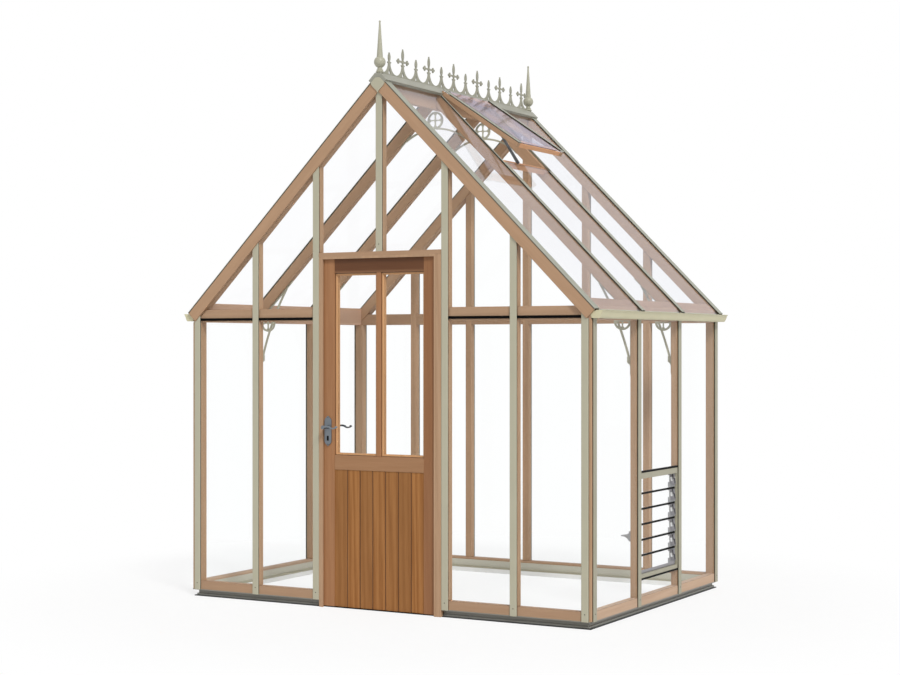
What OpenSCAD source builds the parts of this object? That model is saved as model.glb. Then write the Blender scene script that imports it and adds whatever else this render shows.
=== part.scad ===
// Small gable greenhouse: a cedar frame glazed with clear panes under painted caps,
// on a low aluminium base rail, with a half-glazed door, a louvre window, a roof vent
// and cast ironwork along the ridge and under the roof.
// X runs across the front, Y runs from the front to the rear, Z is up from the ground.

/* [Plan and height] */
// Distance between glazing bars across the front and the rear
bay_w = 424; // [390:1:460]
// Distance between glazing bars along the sides
bay_d = 597; // [540:1:660]
// From the centre of a corner cap out to the wall plane
corner_margin = 35; // [30:1:42]
// Height of the glazing joint at the eaves
eaves_h = 1650; // [1580:1:1760]
// Pitch of the roof in degrees
roof_pitch = 45; // [41:0.5:48]
// Rise of the roof plane over the eaves joint, at the wall plane
roof_lift = 55; // [48:1:70]

/* [Base] */
// Height of the aluminium base rail
base_h = 38; // [30:1:60]
// Depth of the base rail from front to back
base_d = 52; // [44:1:60]
// Distance of the base rail behind the wall plane
base_recess = 24; // [18:1:32]
// Wall of the base rail
base_wall = 3; // [2:0.5:5]
// Depth of the step along the outside of the base rail
base_step = 8; // [5:0.5:12]
// Height of the cedar sill
sill_h = 54; // [40:1:80]
// Distance of the sill's inner face behind the inner faces of the posts
sill_set = 3; // [1:0.5:8]
// Thickness of the painted facing inside the sill
facing_t = 5; // [3:0.5:10]

/* [Cedar frame] */
// Width of the glazing bars and the rafters
bar_w = 44; // [38:1:48]
// Depth of the wall bars behind the glass
bar_d = 40; // [34:1:48]
// Side of the square corner posts
post_w = 57; // [52:1:70]
// Depth of the rafters, square to the slope
rafter_d = 62; // [50:1:66]
// Height of the tie rails across the gables
tie_h = 73; // [60:1:90]
// Drop of the eaves plates and the tie rails below the eaves joint
plate_drop = 15; // [11:1:24]
// Thickness of the ridge board
ridge_t = 32; // [24:1:40]
// Height of the ridge board
ridge_d = 110; // [96:1:130]
// Width of the barge boards, square to the slope
barge_w = 67; // [60:1:80]
// Thickness of the barge boards
barge_t = 16; // [12:1:22]
// Reach of the roof past the eaves plate, along the slope
roof_reach = 35; // [26:1:50]

/* [Glazing] */
// Thickness of the panes
glass_t = 4; // [3:0.5:6]
// Gap between two panes on one bar
pane_gap = 6; // [4:0.5:10]
// Width of the painted glazing caps
cap_w = 42; // [36:1:44]
// Width of the painted caps along the verges
verge_w = 58; // [48:1:66]
// Thickness of the painted glazing caps
cap_t = 8; // [6:0.5:12]
// Height of the black strips between panes
strip_h = 15; // [10:0.5:20]
// Thickness of the black strips in front of the glass
strip_t = 1.5; // [1:0.5:3]
// How far the gable panes reach up behind the barge boards
gable_lap = 32; // [20:1:36]

/* [Ridge and ironwork] */
// Thickness of the ridge cap over the roof glass
ridge_cap_t = 19; // [16:0.5:24]
// Length of each ridge cap flank, along the slope
ridge_cap_s = 60; // [52:1:68]
// Height of the ridge cap's flat top over the apex of the roof plane
ridge_cap_up = 15; // [12:0.5:20]
// Height of the painted plate at each gable peak
apex_plate_h = 92; // [70:1:110]
// Thickness of the painted plate at each gable peak
apex_plate_t = 6; // [4:0.5:10]
// Number of cast lengths along the ridge
crest_count = 6; // [5:1:7]
// Length of one cast length of cresting
crest_len = 299; // [290:1:299]
// Thickness of the cresting
crest_t = 6; // [5:0.5:10]
// Height of the spears of the cresting
crest_low = 132; // [120:1:144]
// Height of the crosses of the cresting
crest_high = 171; // [158:1:186]
// Radius of the scallops between the stems
crest_scallop = 65; // [60:0.5:67]
// Height of the web under the scallops
crest_web = 10; // [8:0.5:16]
// Height of the finials
finial_h = 297; // [260:1:340]
// Radius of the finial's ball
finial_ball = 33; // [28:0.5:38]
// Thickness of the cast spandrels
spandrel_t = 8; // [6:0.5:12]
// Radius of the spandrel rings
ring_r = 52; // [46:0.5:56]
// Width of the bars of the spandrel castings
casting_w = 11; // [8:0.5:13]
// Half of the span of a ridge spandrel, out to the ends of its feet
ridge_span = 235; // [200:1:280]
// Length of a foot of a ridge spandrel, across the roof
ridge_foot = 70; // [50:1:90]
// Depth of a ridge spandrel's ring centre below the rafters' meeting line
ridge_ring_drop = 94; // [84:1:110]
// Height of an eave spandrel along the wall bar
eave_span_h = 330; // [280:1:380]
// Reach of an eave spandrel along the roof, measured level
eave_span_w = 240; // [200:1:290]

/* [Gutters] */
// Depth of the gutters
gutter_h = 43; // [36:1:52]
// Width of the gutters at the rim
gutter_w = 72; // [62:1:84]
// Wall of the gutters
gutter_wall = 3; // [2:0.5:4]
// Spread of the swept front of the gutters
gutter_flare = 30; // [22:1:38]
// Drop of the gutters below the eaves joint
gutter_drop = 9; // [6:0.5:14]
// Height of the gutters' back over the eaves joint
gutter_back = 40; // [32:1:46]

/* [Door] */
// Clear width between the door stops
door_clear_w = 733; // [700:1:760]
// Face of the narrower jamb, on the lock side
lock_jamb_w = 26; // [24:1:50]
// Clear height under the head stop
door_clear_h = 1989; // [1920:1:2040]
// Face of the wider jamb, on the hinge side
hinge_jamb_w = 45; // [40:1:60]
// Height of the head of the door frame, with its stop
head_h = 37; // [32:1:60]
// Depth of the door frame from front to back
frame_d = 60; // [54:1:64]
// Thickness of the door stops
stop_t = 10; // [8:0.5:12]
// Lap of the stops over the door's edges
stop_lap = 8; // [6:0.5:12]
// Running gap round the door
door_gap = 5; // [5:0.5:7]
// Gap under the door
door_foot_gap = 8; // [6:0.5:20]
// Thickness of the door
door_t = 44; // [38:1:46]
// Width of the door's stiles
stile_w = 80; // [72:1:92]
// Height of the door's top rail
top_rail_h = 89; // [70:1:110]
// Underside of the door's middle rail
mid_rail_z = 788; // [700:1:860]
// Height of the door's middle rail
mid_rail_h = 83; // [60:1:100]
// Height of the ledge behind the foot of the boards
ledge_h = 110; // [80:1:150]
// Width of the glazing bar in the door
muntin_w = 30; // [22:1:40]
// Number of boards in the lower door
board_count = 7; // [5:1:9]
// Thickness of the boards
board_t = 18; // [14:1:22]
// Depth of the grooves between boards
groove = 5; // [3:0.5:7]
// Recess of the boards behind the stiles
board_recess = 4; // [2:0.5:6]
// Height of the lever above the ground
lever_z = 1030; // [950:1:1100]
// Length of the lever
lever_len = 95; // [85:1:120]
// How far the lever stands off its plate
lever_stand = 46; // [30:1:54]
// Height of the handle plates
plate_h = 171; // [150:1:190]
// Width of the handle plates
plate_w = 47; // [38:1:48]
// Thickness of the handle plates
plate_t = 5; // [4:0.5:8]
// Height of one hinge
hinge_h = 90; // [75:1:110]
// Radius of the hinge knuckles
knuckle_r = 6; // [5:0.25:6.5]
// Radius of the hinge pins
pin_r = 2.5; // [2:0.25:3]

/* [Louvre window] */
// Underside of the louvre window
louvre_z = 183; // [150:1:260]
// Height of the louvre window
louvre_h = 611; // [540:1:680]
// Number of blades
blade_count = 6; // [5:1:7]
// Tilt of the blades in degrees
blade_tilt = 8; // [6:0.5:12]
// Lap of each blade over the next
blade_lap = 10; // [6:0.5:14]
// Height of the painted head of the louvre frame
louvre_head = 33; // [24:1:44]
// Height of the painted foot of the louvre frame
louvre_foot = 22; // [16:1:34]
// Depth of the painted louvre frame
louvre_d = 14; // [12:0.5:20]
// Depth of the side channels
channel_d = 44; // [36:1:50]
// Width of the side channels
channel_w = 12; // [9:0.5:16]
// Height of the black transoms over and under the louvre
transom_h = 11; // [8:0.5:16]
// Length of the louvre's operating handle
handle_len = 46; // [36:1:60]
// Depth of the boss that carries the handle
handle_boss = 14; // [10:0.5:18]

/* [Roof vent] */
// Length of the roof vent
vent_len = 610; // [520:1:680]
// Angle of the open vent over the roof slope
vent_open = 11; // [7:0.5:16]
// Thickness of the vent frame
vent_t = 28; // [24:1:32]
// Width of the vent's frame members
vent_rail = 38; // [30:1:46]
// Thickness of the painted caps on the vent
vent_cap_t = 4; // [3:0.5:6]
// Reach of the vent past the centre lines of its two roof bars
vent_side = 5; // [0:0.5:8]
// Gap between the vent and the narrow roof caps beside it
vent_gap = 3; // [2:0.5:6]
// Length of the ridge cap flank over the vent, along the slope
ridge_vent_s = 34; // [30:1:40]
// Width of the trimmer under the foot of the vent, along the slope
trimmer_w = 44; // [36:1:54]
// Depth of the trimmer under the roof plane
trimmer_d = 31; // [26:1:50]
// Radius of the trimmer's rounded upper edge
trimmer_r = 16; // [10:1:20]
// Lap of the roof pane over the trimmer
trimmer_lap = 12; // [8:1:18]
// Height of the stay's bracket on the trimmer
opener_h = 16; // [12:1:24]
// Width of the stay's arms
opener_w = 12; // [9:0.5:14]
// Thickness of the stay
opener_t = 8; // [6:0.5:12]
// Reach of the stay's arms up the vent
opener_reach = 230; // [180:1:260]
// How far the stay stands from the middle of the vent
opener_off = 95; // [40:1:160]

/* [Hidden] */
$fn = 48;

// Colours as the photograph shows them
cedar = [0.68, 0.52, 0.40];
board_brown = [0.60, 0.40, 0.24];
sage = [0.69, 0.68, 0.58];
cream = [0.80, 0.78, 0.65];
clear = [0.75, 0.84, 0.88, 0.35];
dark_rail = [0.35, 0.36, 0.35];
black = [0.08, 0.08, 0.08];
pewter = [0.38, 0.39, 0.41];
alloy = [0.62, 0.63, 0.64];

// Wall planes, measured on the outer faces of the glass
corner_x = 3 * bay_w;
wall_x = corner_x + corner_margin;
wall_y = 1.5 * bay_d + corner_margin;
glass_x = wall_x - glass_t;
glass_y = wall_y - glass_t;
sill_top = base_h + sill_h;
sill_d = post_w - sill_set;
side_bar_y = bay_d / 2;
corner_y = 1.5 * bay_d;
plate_z = eaves_h - plate_drop;
plate_in = glass_x - bar_d;
post_in_x = wall_x - post_w;
post_in_y = wall_y - post_w;
strip_z = eaves_h - strip_h / 2;
cap_foot = base_h + 2;
side_cap_top = eaves_h - gutter_drop;

// Roof plane: the upper faces of the rafters
rise = tan(roof_pitch);
apex_z = eaves_h + roof_lift + wall_x * rise;
slope_end = glass_x / cos(roof_pitch) + roof_reach;
barge_y = wall_y + barge_t;
barge_low = barge_w - glass_t;
glass_top_s = ridge_t / 2 / cos(roof_pitch) + 2;
ridge_top = apex_z + ridge_cap_up;
ridge_end = barge_y + apex_plate_t;
seat = 0.1;

// Door opening, set off centre by its wider hinge jamb
frame_x = (door_clear_w + hinge_jamb_w + lock_jamb_w) / 2;
stop_right = frame_x - hinge_jamb_w;
stop_left = stop_right - door_clear_w;
door_right = stop_right + stop_lap;
door_left = stop_left - stop_lap;
jamb_right = door_right + door_gap;
jamb_left = door_left - door_gap;
door_top = door_clear_h + stop_lap;
head_z = door_top + door_gap;
head_top = door_clear_h + head_h;
frame_y = -wall_y - cap_t;
stop_y = frame_y + stop_t;
door_y = stop_y + door_gap;
door_back = door_y + door_t;
door_mid_x = (door_left + door_right) / 2;
pane_y = (door_y + door_back - glass_t) / 2;
lever_x = door_left + stile_w * 0.46;
leaf_t = 2;
leaf_d = 30;
hinge_x = (door_right + jamb_right) / 2;
hinge_y = max(door_back, frame_y + frame_d) + knuckle_r + 0.5;
hinge_zs = [door_foot_gap + 160, mid_rail_z + mid_rail_h / 2, door_top - 160 - hinge_h];
running = 0.3;

// Bars from the middle outwards: the front ones start beside the door frame
door_bar_x = frame_x + bar_w / 2;
front_xs = [door_bar_x, (door_bar_x + corner_x) / 2, corner_x];
rear_xs = [bay_w, 2 * bay_w, corner_x];

// Louvre window in the middle bay of the right wall
louvre_half = side_bar_y - bar_w / 2;
louvre_low = louvre_z + transom_h;
louvre_high = louvre_z + louvre_h - transom_h;
blade_low = louvre_low + louvre_foot + blade_lap;
blade_pitch = (louvre_high - louvre_head + blade_lap - blade_low) / blade_count;

// Roof vent in the middle bay of the right slope
vent_pivot_r = 5;
vent_pivot_s = ridge_vent_s + vent_pivot_r;
vent_pivot_o = glass_t + vent_t / 2;
vent_half = side_bar_y + vent_side;
vent_room = vent_half + vent_gap;
vent_foot_s = vent_pivot_s + vent_len + vent_gap;
trimmer_s = vent_pivot_s + vent_len - trimmer_w * 1.1;

// Points on the underside of the vent at a distance down the slope
function vent_under(s) = [s, vent_pivot_o - vent_t / 2 / cos(vent_open) - seat
  + (s - vent_pivot_s) * tan(vent_open)];
function roof_z(x, o) = apex_z + o / cos(roof_pitch) - abs(x) * rise;
function on_roof(s, o) = [s * cos(roof_pitch) + o * sin(roof_pitch),
  apex_z - s * sin(roof_pitch) + o * cos(roof_pitch)];
function flip(p) = [-p[0], p[1]];
// Centre of the circle through three points
function centre3(a, b, c) =
  let (d = 2 * (a[0] * (b[1] - c[1]) + b[0] * (c[1] - a[1]) + c[0] * (a[1] - b[1])),
       qa = a * a, qb = b * b, qc = c * c)
  [(qa * (b[1] - c[1]) + qb * (c[1] - a[1]) + qc * (a[1] - b[1])) / d,
   (qa * (c[0] - b[0]) + qb * (a[0] - c[0]) + qc * (b[0] - a[0])) / d];

module block(x0, x1, y0, y1, z0, z1) {
  translate([x0, y0, z0]) cube([x1 - x0, y1 - y0, z1 - z0]);
}

// An outline in X and Z, drawn out from y0 to y1
module across(y0, y1) {
  translate([0, y1, 0]) rotate([90, 0, 0]) linear_extrude(y1 - y0) children();
}

// An outline in Y and Z, drawn out from x0 to x1
module along(x0, x1) {
  translate([x0, 0, 0]) rotate([90, 0, 90]) linear_extrude(x1 - x0) children();
}

module both_x() {
  children();
  mirror([1, 0, 0]) children();
}

module both_y() {
  children();
  mirror([0, 1, 0]) children();
}

// Draws on the right slope: X runs down the slope from the apex, Z stands off it
module on_slope() {
  translate([0, 0, apex_z]) rotate([0, roof_pitch, 0]) children();
}

// Keeps what lies under the roof, at the given distance from the roof plane
module under_roof(o) {
  far = wall_x + 200;
  intersection() {
    children();
    across(-wall_y - 100, wall_y + 100)
      polygon([[-far, 0], [far, 0], [far, roof_z(far, o)], [0, roof_z(0, o)],
        [-far, roof_z(far, o)]]);
  }
}

// Barge board: a flat at the peak under the ridge cap, and a square tail
function barge_outline() = let (o = glass_t - seat, top = roof_z(ridge_t / 2, o))
  [[0.5, top], [ridge_t / 2, top], on_roof(slope_end, o), on_roof(slope_end, -barge_low),
    [0.5, roof_z(0.5, -barge_low)]];

// Keeps what lies under the lower edges of the barge boards
module under_barge() {
  far = wall_x + 200;
  toe = on_roof(slope_end, -barge_low);
  intersection() {
    children();
    across(-wall_y - 100, wall_y + 100)
      polygon([[-far, 0], [far, 0], [far, toe[1]], toe, [0, roof_z(0, -barge_low)],
        flip(toe), [-far, toe[1]]]);
  }
}

// A flat curved bar through three points
module arc_bar(a, b, c, w) {
  m = centre3(a, b, c);
  r = norm(a - m);
  reach = (r + w) / r * 1.5;
  intersection() {
    translate(m) difference() {
      circle(r + w / 2, $fn = 360);
      circle(r - w / 2, $fn = 360);
    }
    polygon([m, m + (a - m) * reach, m + (b - m) * reach, m + (c - m) * reach]);
  }
}

// Stepped hollow rail, drawn with its outer side at low X
module rail_outline() {
  step_h = base_h * 0.4;
  polygon([[-base_step, 0], [-base_step, step_h], [0, step_h], [0, base_h], [base_d, base_h],
    [base_d, 0], [base_d - base_wall, 0], [base_d - base_wall, base_h - base_wall],
    [base_wall, base_h - base_wall], [base_wall, step_h - base_wall],
    [base_wall - base_step, step_h - base_wall], [base_wall - base_step, 0]]);
}

// Plan of a rail with mitred ends and a small gap at each corner
module mitred(half) {
  end = half - base_recess + base_step - 1;
  depth = base_d + base_step;
  translate([0, -base_step, 0]) linear_extrude(base_h)
    polygon([[-end, 0], [end, 0], [end - depth, depth], [depth - end, depth]]);
}

module gable_rail() {
  translate([0, base_recess - wall_y, 0]) intersection() {
    along(-wall_x, wall_x) rail_outline();
    mitred(wall_x);
  }
}

module side_rail() {
  translate([wall_x - base_recess, 0, 0]) rotate([0, 0, 90]) intersection() {
    along(-wall_y, wall_y) rail_outline();
    mitred(wall_y);
  }
}

module base_plinth() color(dark_rail) {
  both_x() side_rail();
  mirror([0, 1, 0]) gable_rail();
  difference() {
    gable_rail();
    block(-frame_x, frame_x, -wall_y, 0, -1, base_h + 1);
  }
}

// Sill section: flush with the glass outside, eased along the inner edge
module sill_outline() {
  ease = 8;
  polygon([[0, base_h], [sill_d, base_h], [sill_d, sill_top - ease], [sill_d - ease, sill_top],
    [0, sill_top]]);
}

module sills() color(cedar) {
  both_x() translate([0, -wall_y, 0]) along(frame_x, post_in_x) sill_outline();
  mirror([0, 1, 0]) translate([0, -wall_y, 0]) along(-post_in_x, post_in_x) sill_outline();
  both_x() translate([wall_x, 0, 0]) mirror([1, 0, 0])
    across(-post_in_y, post_in_y) sill_outline();
}

module sill_facings() color(sage) {
  top = sill_top - 14;
  in_x = wall_x - sill_d;
  in_y = wall_y - sill_d;
  both_x() block(frame_x, in_x - facing_t - 1, -in_y, -in_y + facing_t, base_h, top);
  block(-in_x + facing_t + 1, in_x - facing_t - 1, in_y - facing_t, in_y, base_h, top);
  both_x() block(in_x - facing_t, in_x, -post_in_y, post_in_y, base_h, top);
}

module corner_posts() color(cedar) {
  both_x() both_y() difference() {
    block(post_in_x, wall_x, post_in_y, wall_y, base_h, plate_z);
    block(post_in_x - 1, wall_x - corner_margin, glass_y, wall_y + 1, sill_top, plate_z + 1);
    block(glass_x, wall_x + 1, post_in_y - 1, wall_y - corner_margin, sill_top, plate_z + 1);
  }
}

module gable_bar(x, z0, z1) {
  block(x - bar_w / 2, x + bar_w / 2, -glass_y, -glass_y + bar_d, z0, z1);
}

module gable_side_bars(xs) {
  both_x() for (i = [0, 1]) under_roof(-rafter_d) gable_bar(xs[i], sill_top, apex_z);
}

module front_bars() color(cedar) {
  gable_side_bars(front_xs);
  gable_bar(0, head_top, roof_z(ridge_t / 2, glass_t) - ridge_d);
}

module rear_bars() color(cedar) mirror([0, 1, 0]) {
  gable_side_bars(rear_xs);
  gable_bar(0, sill_top, roof_z(ridge_t / 2, glass_t) - ridge_d);
}

module side_bars() color(cedar) {
  both_x() both_y()
    block(plate_in, glass_x, side_bar_y - bar_w / 2, side_bar_y + bar_w / 2, sill_top, plate_z);
}

module tie_rail(x0, x1) {
  under_roof(-rafter_d)
    block(x0, x1, -glass_y, -glass_y + bar_d, plate_z, plate_z + tie_h);
}

module side_ties(xs) {
  half = bar_w / 2;
  both_x() {
    tie_rail(xs[0] + half, xs[1] - half);
    tie_rail(xs[1] + half, plate_in);
  }
}

module tie_rails() color(cedar) {
  side_ties(front_xs);
  mirror([0, 1, 0]) {
    side_ties(rear_xs);
    both_x() tie_rail(bar_w / 2, rear_xs[0] - bar_w / 2);
  }
}

module eaves_plates() color(cedar) {
  both_x() across(-glass_y, glass_y)
    polygon([[plate_in, plate_z], [glass_x, plate_z], [glass_x, roof_z(glass_x, 0)],
      [plate_in, roof_z(plate_in, 0)]]);
}

module rafter(y0) {
  top = ridge_t / 2;
  across(y0, y0 + bar_w)
    polygon([[top, roof_z(top, 0)], [plate_in, roof_z(plate_in, 0)],
      [plate_in, roof_z(plate_in, -rafter_d)], [top, roof_z(top, -rafter_d)]]);
}

module rafters() color(cedar) {
  both_x() both_y() {
    rafter(side_bar_y - bar_w / 2);
    rafter(glass_y - bar_w);
  }
}

module ridge_board() color(cedar) {
  top = roof_z(ridge_t / 2, glass_t);
  block(-ridge_t / 2, ridge_t / 2, -glass_y, glass_y, top - ridge_d, top);
}

module barge_boards() color(cedar) {
  both_y() both_x() across(wall_y, barge_y) polygon(barge_outline());
}

module ridge_cap() color(sage) {
  flat = (apex_z + (glass_t + ridge_cap_t) / cos(roof_pitch) - ridge_top) / rise;
  right = [[flat, ridge_top], on_roof(ridge_cap_s, glass_t + ridge_cap_t),
    on_roof(ridge_cap_s, glass_t + seat), [ridge_t / 2, roof_z(ridge_t / 2, glass_t + seat)]];
  difference() {
    across(-ridge_end, ridge_end)
      polygon(concat(right, [for (i = [3:-1:0]) flip(right[i])]));
    on_slope() block(ridge_vent_s, ridge_cap_s + 1, -vent_room, vent_room, 0, glass_t + ridge_cap_t + 1);
  }
}

// One stem of the cresting with its pierced foot and collar, in Y and Z over the ridge
module crest_foot() {
  pitch = crest_len / 2;
  top = crest_scallop + crest_web;
  difference() {
    translate([-pitch / 2, 0]) square([pitch, top]);
    for (side = [-1, 1]) translate([side * pitch / 2, top]) circle(crest_scallop, $fn = 64);
    translate([0, 16]) circle(9);
    polygon([[-8.1, 20], [8.1, 20], [0, 42]]);
  }
  translate([-13, top - 4]) square([26, 8]);
  for (side = [-1, 1]) translate([side * 13, top]) circle(5);
}

// A pointed leaf standing on z0
module leaf(z0, h, half_w) {
  r = (h * h / 4 + half_w * half_w) / (2 * half_w);
  translate([0, z0 + h / 2]) intersection() {
    translate([r - half_w, 0]) circle(r, $fn = 64);
    translate([half_w - r, 0]) circle(r, $fn = 64);
  }
}

// Leaf with a bead at its tip and a narrow stem below, from z0 up to the given height
module spear(z0, top) {
  bead = 4;
  translate([-5, z0]) square([10, (top - z0) / 2]);
  leaf(z0 + 2, top - bead - z0, 12);
  translate([0, top - bead]) circle(bead);
}

// Three round lobes at the end of a cross arm that points up
module trefoil(reach) {
  lobe = 7;
  translate([-5, 0]) square([10, reach - lobe]);
  translate([0, reach - lobe]) circle(lobe);
  for (side = [-1, 1]) translate([side * lobe * 1.2, reach - lobe * 2.6]) circle(lobe);
}

module crest_spear() {
  crest_foot();
  spear(crest_scallop + crest_web, crest_low);
}

module crest_cross() {
  arm_z = crest_scallop + crest_web + 22;
  crest_foot();
  translate([-6, crest_scallop]) square([12, arm_z - crest_scallop]);
  for (turn = [-90, 90]) translate([0, arm_z]) rotate(turn) trefoil(crest_len / 4 - 8);
  translate([0, arm_z]) circle(11);
  spear(arm_z, crest_high);
}

module ridge_cresting() color(sage) {
  step = crest_len + 1;
  for (i = [0:crest_count - 1])
    translate([0, (i - (crest_count - 1) / 2) * step, ridge_top]) along(-crest_t / 2, crest_t / 2) {
      translate([-crest_len / 4, 0]) crest_spear();
      translate([crest_len / 4, 0]) crest_cross();
    }
}

module finials() color(sage) {
  ball_z = finial_ball + 30;
  spire_r = finial_ball * 0.54;
  spire_z = ball_z + sqrt(finial_ball * finial_ball - spire_r * spire_r) - 1;
  tip_r = 6;
  both_y() translate([0, wall_y - 5, ridge_top]) {
    cylinder(h = 6, r = 20);
    translate([0, 0, 6]) cylinder(h = 10, r1 = 25, r2 = 17);
    translate([0, 0, 16]) cylinder(h = 4, r = 19);
    translate([0, 0, 20]) cylinder(h = 14, r = 14);
    translate([0, 0, ball_z]) sphere(finial_ball);
    translate([0, 0, spire_z]) cylinder(h = finial_h - tip_r - spire_z, r1 = spire_r, r2 = 4);
    translate([0, 0, finial_h - tip_r]) sphere(tip_r);
  }
}

// Painted plate under the ridge cap, drawn to a point by a swept curve on each side
module apex_plates() color(sage) {
  steps = 10;
  shoulder = on_roof(ridge_cap_s, glass_t - seat);
  top = [ridge_t / 2, roof_z(ridge_t / 2, glass_t - seat)];
  tip = top[1] - apex_plate_h;
  right = [for (i = [0:steps - 1]) let (t = i / steps)
    [shoulder[0] * (1 + cos(180 * t)) / 2, shoulder[1] + (tip - shoulder[1]) * t]];
  both_y() across(barge_y, ridge_end)
    polygon(concat([flip(top), top], right, [[0, tip]], [for (i = [steps - 1:-1:0]) flip(right[i])]));
}

// Gutter section outside the right wall: a swept front, filled up to its rim
module gutter_section(wall) {
  steps = 10;
  low = eaves_h - gutter_drop + wall;
  foot = gutter_w - gutter_flare;
  front = [for (i = [0:steps]) let (t = i / steps)
    [wall_x + foot + gutter_flare * t - wall,
      max(low, eaves_h - gutter_drop + gutter_h * (t - sin(360 * t) / 8))]];
  polygon(concat([[wall_x + wall, low]], front, [[wall_x + wall, front[steps][1]]]));
}

module gutters() color(cream) {
  inner = wall_y - gutter_wall;
  both_x() difference() {
    across(-wall_y, wall_y) {
      gutter_section(0);
      translate([glass_x, eaves_h]) square([gutter_wall, gutter_back]);
      translate([glass_x, eaves_h]) square([wall_x - glass_x + gutter_wall, gutter_wall]);
    }
    across(-inner, inner) gutter_section(gutter_wall);
  }
}

// Cap section with eased outer edges, its back on Y = 0
module cap_outline(w) {
  ease = cap_t / 3;
  half = w / 2;
  polygon([[-half, 0], [half, 0], [half, cap_t - ease], [half - ease, cap_t], [ease - half, cap_t],
    [-half, cap_t - ease]]);
}

module gable_cap(x, z0) {
  translate([x, -wall_y, z0]) mirror([0, 1, 0]) linear_extrude(apex_z - z0) cap_outline(cap_w);
}

module gable_side_caps(xs) {
  both_x() for (x = xs) under_barge() gable_cap(x, cap_foot);
}

module front_caps() color(sage) {
  gable_side_caps(front_xs);
  under_barge() gable_cap(0, head_top);
}

module rear_caps() color(sage) mirror([0, 1, 0]) {
  gable_side_caps(rear_xs);
  under_barge() gable_cap(0, cap_foot);
}

module side_caps() color(sage) {
  both_x() both_y() for (y = [side_bar_y, corner_y])
    translate([wall_x, y, cap_foot]) rotate([0, 0, -90]) linear_extrude(side_cap_top - cap_foot)
      cap_outline(cap_w);
}

// Cap down the right slope, centred on y
module roof_cap(y, w) {
  on_slope() translate([ridge_cap_s + seat, y, glass_t + seat]) rotate([90, 0, 90])
    linear_extrude(slope_end - ridge_cap_s - seat) cap_outline(w);
}

// The caps beside the vent are cut back to narrow strips along its length
module roof_caps() color(sage) {
  both_x() both_y() roof_cap(barge_y - verge_w / 2, verge_w);
  mirror([1, 0, 0]) both_y() roof_cap(side_bar_y, cap_w);
  both_y() difference() {
    roof_cap(side_bar_y, cap_w);
    on_slope() block(0, vent_foot_s, 0, vent_room, 0, glass_t + 2 * cap_t);
  }
}

module gable_pane(x0, x1, z0, z1) {
  block(x0 + pane_gap / 2, x1 - pane_gap / 2, -wall_y, -glass_y, z0, z1);
}

// Lower and upper panes of the bays outside the door
module gable_side_glass(xs) {
  both_x() for (i = [0, 1]) {
    gable_pane(xs[i], xs[i + 1], sill_top, strip_z);
    under_roof(gable_lap - rafter_d) gable_pane(xs[i], xs[i + 1], strip_z + strip_h, apex_z);
  }
}

module front_glass() color(clear) {
  gable_side_glass(front_xs);
  both_x() under_roof(gable_lap - rafter_d) gable_pane(0, front_xs[0], head_top, apex_z);
}

module rear_glass() color(clear) mirror([0, 1, 0]) {
  gable_side_glass(rear_xs);
  both_x() {
    gable_pane(0, rear_xs[0], sill_top, strip_z);
    under_roof(gable_lap - rafter_d) gable_pane(0, rear_xs[0], strip_z + strip_h, apex_z);
  }
}

module side_pane(y0, y1, z0, z1) {
  block(glass_x, wall_x, y0 + pane_gap / 2, y1 - pane_gap / 2, z0, z1);
}

module side_glass() color(clear) {
  both_x() both_y() side_pane(side_bar_y, corner_y, sill_top, eaves_h);
  mirror([1, 0, 0]) side_pane(-side_bar_y, side_bar_y, sill_top, eaves_h);
  side_pane(-side_bar_y, side_bar_y, sill_top, louvre_z);
  side_pane(-side_bar_y, side_bar_y, louvre_z + louvre_h, eaves_h);
}

module roof_pane(s0, y0, y1) {
  on_slope() block(s0, slope_end, y0, y1, 0, glass_t);
}

module roof_glass() color(clear) {
  inner = side_bar_y - pane_gap / 2;
  both_x() both_y() roof_pane(glass_top_s, side_bar_y + pane_gap / 2, glass_y);
  mirror([1, 0, 0]) roof_pane(glass_top_s, -inner, inner);
  roof_pane(trimmer_s + trimmer_w - trimmer_lap, -inner, inner);
}

module gable_strip(x0, x1) {
  half = cap_w / 2;
  block(x0 + half, x1 - half, -wall_y - strip_t, -glass_y, strip_z, strip_z + strip_h);
}

module gable_side_strips(xs) {
  both_x() for (i = [0, 1]) gable_strip(xs[i], xs[i + 1]);
}

module glazing_strips() color(black) {
  gable_side_strips(front_xs);
  mirror([0, 1, 0]) {
    gable_side_strips(rear_xs);
    both_x() gable_strip(0, rear_xs[0]);
  }
  for (z = [louvre_z, louvre_high])
    block(wall_x - louvre_d, wall_x, -louvre_half, louvre_half, z, z + transom_h);
}

module door_jambs() color(cedar) {
  block(-frame_x, jamb_left, frame_y, frame_y + frame_d, 0, head_z);
  block(jamb_right, frame_x, frame_y, frame_y + frame_d, 0, head_z);
}

module door_head() color(cedar) {
  block(-frame_x, frame_x, frame_y, frame_y + frame_d, head_z, head_top);
}

module door_stops() color(cedar) {
  block(jamb_left, stop_left, frame_y, stop_y, 0, head_z);
  block(stop_right, jamb_right, frame_y, stop_y, 0, head_z);
  block(stop_left + running, stop_right - running, frame_y, stop_y, door_clear_h, head_z);
}

// Knuckle on the hinge axis over the given share of the hinge's height
module knuckle(from, to) {
  translate([hinge_x, hinge_y, from * hinge_h]) cylinder(h = (to - from) * hinge_h, r = knuckle_r);
}

module leaf_plate(x0, from, to) {
  block(x0, x0 + leaf_t, door_back - leaf_d, hinge_y, from * hinge_h, to * hinge_h);
}

// Space that the other leaf's knuckles turn in
module knuckle_room(from, to) {
  translate([hinge_x, hinge_y, from * hinge_h - running])
    cylinder(h = (to - from) * hinge_h + 2 * running, r = knuckle_r + running);
}

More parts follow.
